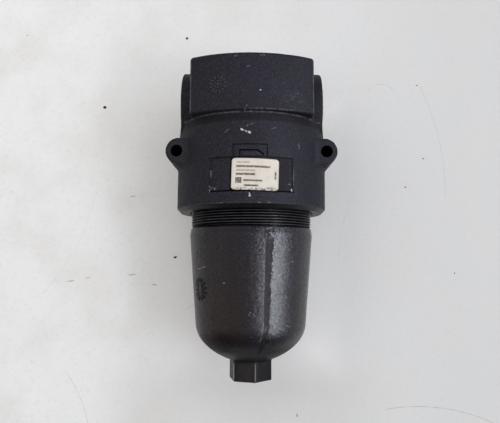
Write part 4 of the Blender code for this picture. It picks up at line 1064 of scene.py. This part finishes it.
def bowl_paint():
    f = Finish("bowl_cast_paint")
    z, turn = f.parts["Z"], f.angle()
    front = f.spread(f.parts["Y"], -5, -8)
    cloud, mottle = f.noise(18, 3), f.noise(3.0, 4, 0.65)
    speck, grain = f.noise(0.9, 3, 0.65), f.noise(0.45, 3, 0.6)

    f.base = f.tone(f.spread(cloud, 0.35, 0.65), (23, 21, 27), (27, 25, 35))
    # Painted warm light on the left of the bowl, stronger lower down
    f.coat((32, 22, 18), f.spread(turn, 8, -22), f.spread(z, -38, -72, 0.35, 1.0), 0.75)
    f.coat((32, 30, 34), f.spread(mottle, 0.42, 0.72, 0, 0.4))
    f.coat((44, 42, 46), f.spread(speck, 0.55, 0.8, 0, 0.6))
    f.coat((8, 8, 8), f.spread(speck, 0.42, 0.25, 0, 0.6))
    f.coat((30, 29, 30), f.spread(z, BOWL_WALL_Z + 3, BOWL_SHOULDER_Z), f.spread(cloud, 0.4, 0.6, 0.4, 1.0), 0.5)

    # Casting seam, ground flat, with a ragged right side
    ragged = f.noise(2.2, 4, 0.7)
    across_seam = f.plus(f.less(turn, 0.5), f.spread(z, -86, -106, 0, 5, smooth=False))
    right = f.plus(f.spread(z, -22, -54, 18.8, 16.9, smooth=False), f.both(f.less(ragged, 0.5), 3.4))
    past_right = f.less(across_seam, right)
    seam = f.both(f.spread(across_seam, 11.6, 12.2), f.spread(past_right, 0.5, -0.5), f.spread(z, -19, -23),
                  f.spread(z, -108, -98))
    above = f.both(f.slab(turn, 10.5, 21.0, 1.5), f.spread(z, -24, -20), f.spread(ragged, 0.45, 0.55))
    seam_line = f.both(f.slab(across_seam, 11.7, 12.2, 0.25), 0.6, f.spread(z, -20, -23), f.spread(z, -88, -80))
    pits = f.both(f.slab(past_right, -0.9, 0.7, 0.4), f.slab(z, -84, -20, 1.0),
                  f.spread(f.noise(1.1, 2, 0.6), 0.5, 0.6))
    cut, dull = f.any([seam_line, pits]), f.any([seam, above])
    ground = f.tone(f.both(f.spread(speck, 0.42, 0.58), f.spread(z, -92, -84)), (10, 10, 11), (44, 43, 46))
    f.coat(ground, seam, 0.8)
    f.coat((14, 13, 15), f.any([cut, f.both(above, 0.7)]), 0.8)

    f.coat((14, 13, 15), front, f.spots(BOWL_DARK_MARKS), 0.75)
    f.coat((118, 117, 120), front, f.spots(BOWL_THIN_MARKS), f.spread(speck, 0.3, 0.55, 0.1, 0.65))
    f.coat((136, 134, 132), front, f.spots(BOWL_LIGHT_MARKS), f.spread(speck, 0.3, 0.5, 0.25, 0.9))

    # Foundry mark on the left of the front
    along, rise = f.both(f.less(turn, MARK_TURN), math.radians(MARK_REACH)), f.less(z, MARK_Z)
    from_mark = f.far(along, rise)
    mark = f.any([
        f.both(f.wheel(along, rise, 3.0, 5.4, 8.2, 12), front, f.spread(from_mark, 4.8, 5.4, 0.3, 0.75)),
        f.both(f.slab(from_mark, 8.0, 9.6, 0.4), front, f.spread(f.noise(2.0, 2), 0.4, 0.5),
               f.spread(along, 3.0, -3.0, 0.1, 0.9)),
    ])
    f.coat((3, 3, 3), mark)

    # Dome, and corners of the hexagon worn and painted light as painted highlights
    to_corner = f.math("ABSOLUTE", f.less(f.math("MODULO", f.plus(turn, 540.0 - HEX_TURN + 30.0), 60.0), 30.0))
    on_hexagon = f.both(f.spread(z, -113.5, -115.5), f.spread(f.radius(), 18.5, 18.0))
    # Painted shade over the lower dome, deeper on the left
    f.coat((12, 11, 12), f.spread(z, -88, -104), f.spread(turn, 15, -40, 0.3, 0.8))
    f.coat((4, 4, 4), on_hexagon, f.slab(to_corner, 3.0, 4.5, 1.0), 0.5)
    f.coat((8, 8, 10), on_hexagon, f.spread(turn, 12, 14), 0.5)
    # Corners of the hexagon painted light as wear and as painted highlights, brightest on the left
    f.coat(f.tone(f.spread(turn, 0, -30), (102, 100, 104), (176, 166, 158)),
           on_hexagon, f.spread(to_corner, 1.9, 0.9), f.spread(speck, 0.3, 0.5, 0.4, 1.0), 0.8)
    f.coat((14, 13, 13), f.slab(z, HEX_LOW - 1, HEX_LOW + 0.9, 0.3), f.spread(speck, 0.35, 0.5, 0.2, 0.8))

    return f.set(
        Specular_IOR_Level=f.both(
            f.spread(f.any([mark, cut, f.both(dull, 0.6)]), 0.0, 1.0, 0.5, 0.05, smooth=False),
            f.less(1.0, f.both(f.slab(z, -106, -90, 5.0), f.spread(turn, -2, -32, 0.0, 0.85))),
            f.spread(z, -50, -20, 1.0, 0.9), f.spread(f.noise(1.4, 2, 0.7), 0.35, 0.65, 0.8, 1.2, smooth=False),
            f.spread(turn, -25, -60, 1.0, 0.45), f.spread(turn, 45, 70, 1.0, 0.8),
            f.less(1.0, f.both(f.spread(z, -97, -103), f.spread(turn, 0, 25), 0.7))),
        Roughness=f.plus(f.any([f.grained(mottle, 0.215, 0.3), f.spread(z, -84, -104, 0.0, 0.45)]), f.both(dull, 0.3)),
        Normal=f.bump((mottle, 0.16), (f.noise(1.6, 2, 0.5), 0.27), (speck, 0.13), (grain, 0.07),
                      (f.both(cut, -0.5), 0.25)),
    )


def mottled(name, cloud, fine, one, other):
    """A finish with two tones in clouds. The clouds and the fine noise are given as size, detail and roughness."""
    f = Finish(name)
    clouds = f.noise(*cloud)
    f.base = f.tone(f.spread(clouds, 0.35, 0.7), one, other)
    return f, clouds, f.noise(*fine)


def bare_iron():
    f, _, grain = mottled("bare_machined_iron", (6, 4, 0.6), (0.3, 2, 0.6), (70, 68, 67), (46, 44, 44))
    f.coat((96, 94, 92), f.spread(grain, 0.5, 0.75, 0, 0.4))
    rings = f.noise(0.5, 2, 0.5, (0.05, 0.05, 1.0))
    return f.set(Roughness=f.grained(grain, 0.2, 0.32), Normal=f.bump((f.plus(grain, rings), 0.01)))


def dark_bore():
    # Near black, also painting the shade on the head's bottom face and chamfer
    f, cloud, fine = mottled("oiled_bore_and_shade", (4, 4, 0.6), (0.5, 2), (20, 19, 20), (10, 10, 10))
    return f.set(Specular_IOR_Level=0.3, Roughness=f.grained(cloud, 0.35, 0.5), Normal=f.bump((fine, 0.03)))


def dark_thread():
    f, cloud, fine = mottled("oiled_thread_and_shade", (5, 4, 0.6), (0.5, 2), (82, 79, 88), (54, 52, 57))
    # Crests painted lighter as wear and as painted highlights; roots painted near black as painted shade between the
    # ridges
    crest = f.spread(f.radius(), ROOT_RADIUS + 0.65, CREST_RADIUS - 0.08)
    f.coat((3, 3, 3), f.less(1.0, crest))
    return f.set(Specular_IOR_Level=f.spread(crest, 0.0, 1.0, 0.05, 0.3), Roughness=f.grained(cloud, 0.34, 0.46),
                 Normal=f.bump((fine, 0.01)))


def sticker_paper():
    f = Finish("sticker_paper")
    u, v = f.on_label()
    cloud, fine = f.noise(5, 4, 0.6), f.noise(0.9, 3, 0.6)
    f.base = f.tone(f.spread(cloud, 0.4, 0.75), (218, 211, 200), (207, 199, 187))
    f.coat((186, 176, 162), f.spread(fine, 0.55, 0.8, 0, 0.25))
    rubbed = f.spread(fine, 0.3, 0.55, 0.45, 1.0)
    for colour, strength, bars in STICKER_PRINT:
        drawn = [f.spread(f.box(u, v, left, right, middle - half, middle + half), 0.3, -0.25)
                 for left, right, middle, half in bars]
        f.coat(colour, f.any(drawn), rubbed, strength)
    edge = f.box(u, v, -LABEL_HALF, LABEL_HALF, -LABEL_RISE, LABEL_RISE)
    dirt = f.both(f.spread(v, -8.9, -10.7), f.spread(f.noise(1.6, 4, 0.65), 0.44, 0.56), 0.9)
    smudge = f.both(f.slab(u, 8.0, 14.0, 1.2), f.slab(v, -10.3, -8.8, 0.5), f.spread(fine, 0.35, 0.55), 0.8)
    f.coat((74, 64, 54), f.any([dirt, smudge, f.both(f.spread(edge, -0.9, -0.2), 0.25)]))
    return f.set(Specular_IOR_Level=0.3, Roughness=f.grained(cloud, 0.5, 0.6), Normal=f.bump((f.noise(2.5, 2), 0.05)))


# Finishes of the pieces inside, one for each material slot of the record

def rubber():
    f, _, fine = mottled("seal_rubber", (3, 3), (0.4, 3, 0.6), (26, 26, 27), (36, 35, 35))
    return f.set(Specular_IOR_Level=0.4, Roughness=f.grained(fine, 0.45, 0.6), Normal=f.bump((fine, 0.02)))


def backup_plastic():
    f, _, fine = mottled("backup_ring_plastic", (4, 3), (0.5, 3, 0.6), (222, 219, 212), (208, 204, 194))
    return f.set(Subsurface_Weight=0.05, Roughness=f.grained(fine, 0.38, 0.5), Normal=f.bump((fine, 0.015)))


def filter_medium():
    f, fibre, cloud = mottled("filter_paper", (0.8, 4, 0.65, (1.0, 1.0, 0.35)), (12, 3),
                              (222, 212, 180), (200, 186, 148))
    f.coat((176, 158, 116), f.spread(cloud, 0.5, 0.75, 0, 0.5))
    weave = f.both(*(f.math("SINE", f.both(way, 7.0))
                     for way in (f.parts["Z"], f.plus(f.parts["X"], f.parts["Y"]))))
    return f.set(Specular_IOR_Level=0.2, Roughness=f.grained(fibre, 0.8, 0.92),
                 Normal=f.bump((fibre, 0.05), (weave, 0.06)))


def plated_steel():
    f, _, grain = mottled("zinc_plated_steel", (5, 4, 0.6), (0.35, 2, 0.6, (1.0, 1.0, 0.2)),
                              (200, 200, 196), (178, 177, 172))
    return f.set(Metallic=1.0, Roughness=f.grained(grain, 0.28, 0.42), Normal=f.bump((grain, 0.008)))


def spring_steel():
    f, cloud, fine = mottled("spring_steel_wire", (2.5, 3, 0.6), (0.3, 2), (158, 158, 162), (128, 127, 130))
    return f.set(Metallic=1.0, Roughness=f.grained(cloud, 0.26, 0.38), Normal=f.bump((fine, 0.006)))


def copper():
    f, cloud, fine = mottled("copper_washer", (2.5, 4, 0.6), (0.4, 2), (214, 142, 108), (168, 104, 78))
    return f.set(Metallic=1.0, Roughness=f.grained(cloud, 0.32, 0.48), Normal=f.bump((fine, 0.008)))


def black_oxide():
    f, _, grain = mottled("blackened_steel", (4, 4, 0.6), (0.4, 2, 0.6), (44, 44, 46), (32, 31, 33))
    f.coat((84, 82, 82), f.spread(grain, 0.6, 0.8, 0, 0.5))
    return f.set(Metallic=0.6, Roughness=f.grained(grain, 0.34, 0.46), Normal=f.bump((grain, 0.01)))


def dress_inner_pieces():
    """Gives each CAD node that shows as it is the finish of its material slot."""
    makers = (rubber, backup_plastic, filter_medium, plated_steel, spring_steel, copper, black_oxide)
    finishes = {maker.__name__: maker() for maker in makers}
    for subpart in frame["record"]["subparts"]:
        finish = finishes.get(subpart["material_slot"])
        if finish:
            node = frame["nodes"][subpart["node"]]
            if not node.material_slots:
                node.data.materials.append(finish)
            for material_slot in node.material_slots:
                material_slot.material = finish
    return finishes


# Stage, lights and camera

def pale_surface():
    f = Finish("pale_surface")
    x, z = f.parts["X"], f.parts["Z"]
    # Lighter on the left and darker on the right, as painted light across the surface
    f.base = f.tone(f.spread(x, -190, 190, smooth=False), BACKDROP_LEFT, BACKDROP_RIGHT)
    f.coat((219, 216, 212), f.spread(f.noise(60, 3), 0.4, 0.7, 0, 0.35))
    f.coat((206, 204, 201), f.spread(f.noise(3.5, 4, 0.65), 0.5, 0.8, 0, 0.3))
    f.coat((190, 187, 184), f.spread(f.noise(1.2, 3, 0.6), 0.62, 0.74, 0, 0.35))
    # Painted light round the filter against its own shade, and painted shadow beside it on the left and below it
    f.coat((250, 250, 250), f.spread(f.box(x, z, -30.0, 30.0, -90.0, 60.0), 65, 15, 0, 0.85))
    shadow_beside = f.both(f.slab(x, -122, -40, 26.0), f.slab(z, 95, 160, 22.0), 0.25)
    shadow_below = f.both(f.slab(x, -122, 110, 30.0), f.spread(z, -112, -155), 0.42)
    f.coat((206, 204, 202), f.any([shadow_beside, shadow_below]))
    scratches = []
    for middle_x, middle_z, radius, start, end, strength in BACKDROP_SCRATCHES:
        u, v = f.less(x, middle_x), f.less(z, middle_z)
        turn = f.math("DEGREES", f.math("ARCTAN2", v, u))
        scratches.append(f.both(f.slab(f.far(u, v), radius - 0.18, radius + 0.18, 0.22),
                                f.slab(turn, start, end, 1.0), strength))
    f.coat((128, 120, 112), f.any(scratches), f.spread(f.noise(5, 2), 0.35, 0.55, 0.2, 1.0))
    f.coat((44, 40, 40), f.spots(BACKDROP_SPECKS))
    f.set(Roughness=0.7, Specular_IOR_Level=0.2, Normal=f.bump((f.noise(1.0, 3, 0.6), 0.02)))
    # Clear when seen from behind
    shown = f.node("ShaderNodeMixShader", {
        0: f.node("ShaderNodeNewGeometry").outputs["Backfacing"],
        1: f.shader.outputs[0],
        2: f.node("ShaderNodeBsdfTransparent").outputs[0],
    })
    f.feed(f.tree.nodes["Material Output"].inputs["Surface"], shown.outputs[0])
    return f.material


def make_stage():
    mesh = bpy.data.meshes.new("backdrop")
    half, depth = BACKDROP_HALF, BACKDROP_DEPTH
    mesh.from_pydata([(-half, depth, -half), (half, depth, -half), (half, depth, half), (-half, depth, half)], [],
                     [(0, 1, 2, 3)])
    backdrop = new_object("backdrop", mesh, [pale_surface()])


def make_world():
    """A soft room: darker above and below, warm on the left, cooler and brighter on the right."""
    world = bpy.data.worlds.new("soft_room")
    bpy.context.scene.world = world
    world.use_nodes = True
    room = Nodes(world.node_tree)
    coords = room.node("ShaderNodeTexCoord").outputs["Generated"]
    split = room.node("ShaderNodeSeparateXYZ", {0: coords}).outputs

    def ramp(component, stops):
        shifted = room.node("ShaderNodeMapRange", {"From Min": -1.0, "Value": split[component]})
        made = room.node("ShaderNodeValToRGB", {"Fac": shifted.outputs["Result"]})
        elements = made.color_ramp.elements
        while len(elements) < len(stops):
            elements.new(0.5)
        for element, (value, colour) in zip(elements, stops):
            element.position = (value + 1) / 2
            element.color = (*colour, 1) if isinstance(colour, tuple) else (colour, colour, colour, 1)
        return made.outputs["Color"]

    rise = ramp("Z", [(-1.0, 0.14), (-0.6, 0.2), (-0.1, 1.0), (0.25, 0.85), (0.6, 0.4), (1.0, 0.3)])
    sweep = ramp("X", [(-1.0, (0.88, 0.84, 0.82)), (-0.1, (0.86, 0.82, 0.81)), (0.5, (1.0, 1.02, 1.10)),
                       (1.0, (1.0, 1.02, 1.10))])
    front = ramp("Y", [(-1.0, 0.72), (-0.85, 0.8), (-0.55, 1.0), (0.05, 1.0), (0.25, 0.3), (1.0, 0.3)])
    background = room.tree.nodes["Background"]
    room.feed(background.inputs["Strength"], ROOM_STRENGTH)
    room.feed(background.inputs["Color"],
              room.mix(1.0, room.mix(1.0, rise, sweep, "MULTIPLY"), front, "MULTIPLY"))


def lamp(name, spot, width, height, power, colour):
    """A rectangular lamp aimed at the middle of the head's bottom face."""
    data = bpy.data.lights.new(name, "AREA")
    data.shape = "RECTANGLE"
    data.size, data.size_y = width, height
    data.energy = power
    data.color = colour
    obj = bpy.data.objects.new(name, data)
    obj.location = spot
    obj.rotation_euler = (Vector((0, AXIS_Y * MM, BASE_Z * MM)) - Vector(spot)).to_track_quat("-Z", "Y").to_euler()
    bpy.context.scene.collection.objects.link(obj)
    return obj


def make_lights():
    lamp("window", (0.70, -0.91, -0.15), 0.15, 0.9, 2.8, (0.92, 0.95, 1.0))
    glint = lamp("glint", (0.725, -0.79, -0.15), 0.125, 0.9, 12.6, (0.86, 0.89, 1.0))
    glint.visible_diffuse = False
    fill = lamp("fill", (-0.12, -1.2, 0.3), 2.2, 2.0, 15, (1.0, 0.99, 0.97))
    fill.visible_glossy = False


def make_camera():
    tilt, roll = math.radians(CAMERA_TILT), math.radians(CAMERA_ROLL)
    data = bpy.data.cameras.new("camera")
    data.sensor_width = SENSOR_WIDTH
    data.lens = FOCAL_PIXELS / PICTURE_WIDTH * SENSOR_WIDTH
    camera = bpy.data.objects.new("camera", data)
    forward = Vector((0, math.cos(tilt), math.sin(tilt)))
    level = Vector((1, 0, 0))
    right = level * math.cos(roll) + level.cross(forward) * math.sin(roll)
    up = right.cross(forward)
    target = Vector((CAMERA_X * MM, AXIS_Y * MM, (BASE_Z + CAMERA_Z) * MM))
    turn = Matrix((right, up, -forward)).transposed()
    camera.matrix_world = Matrix.Translation(target - forward * CAMERA_DISTANCE * MM) @ turn.to_4x4()
    bpy.context.scene.collection.objects.link(camera)
    bpy.context.scene.camera = camera


make_camera()
make_world()
make_lights()
make_stage()
make_head(head_paint(), bare_iron(), dark_bore())
make_bowl(bowl_paint(), dark_thread(), bare_iron())
make_label(sticker_paper())
make_spring(dress_inner_pieces()["spring_steel"])

bpy.context.scene.view_settings.view_transform = "Standard"
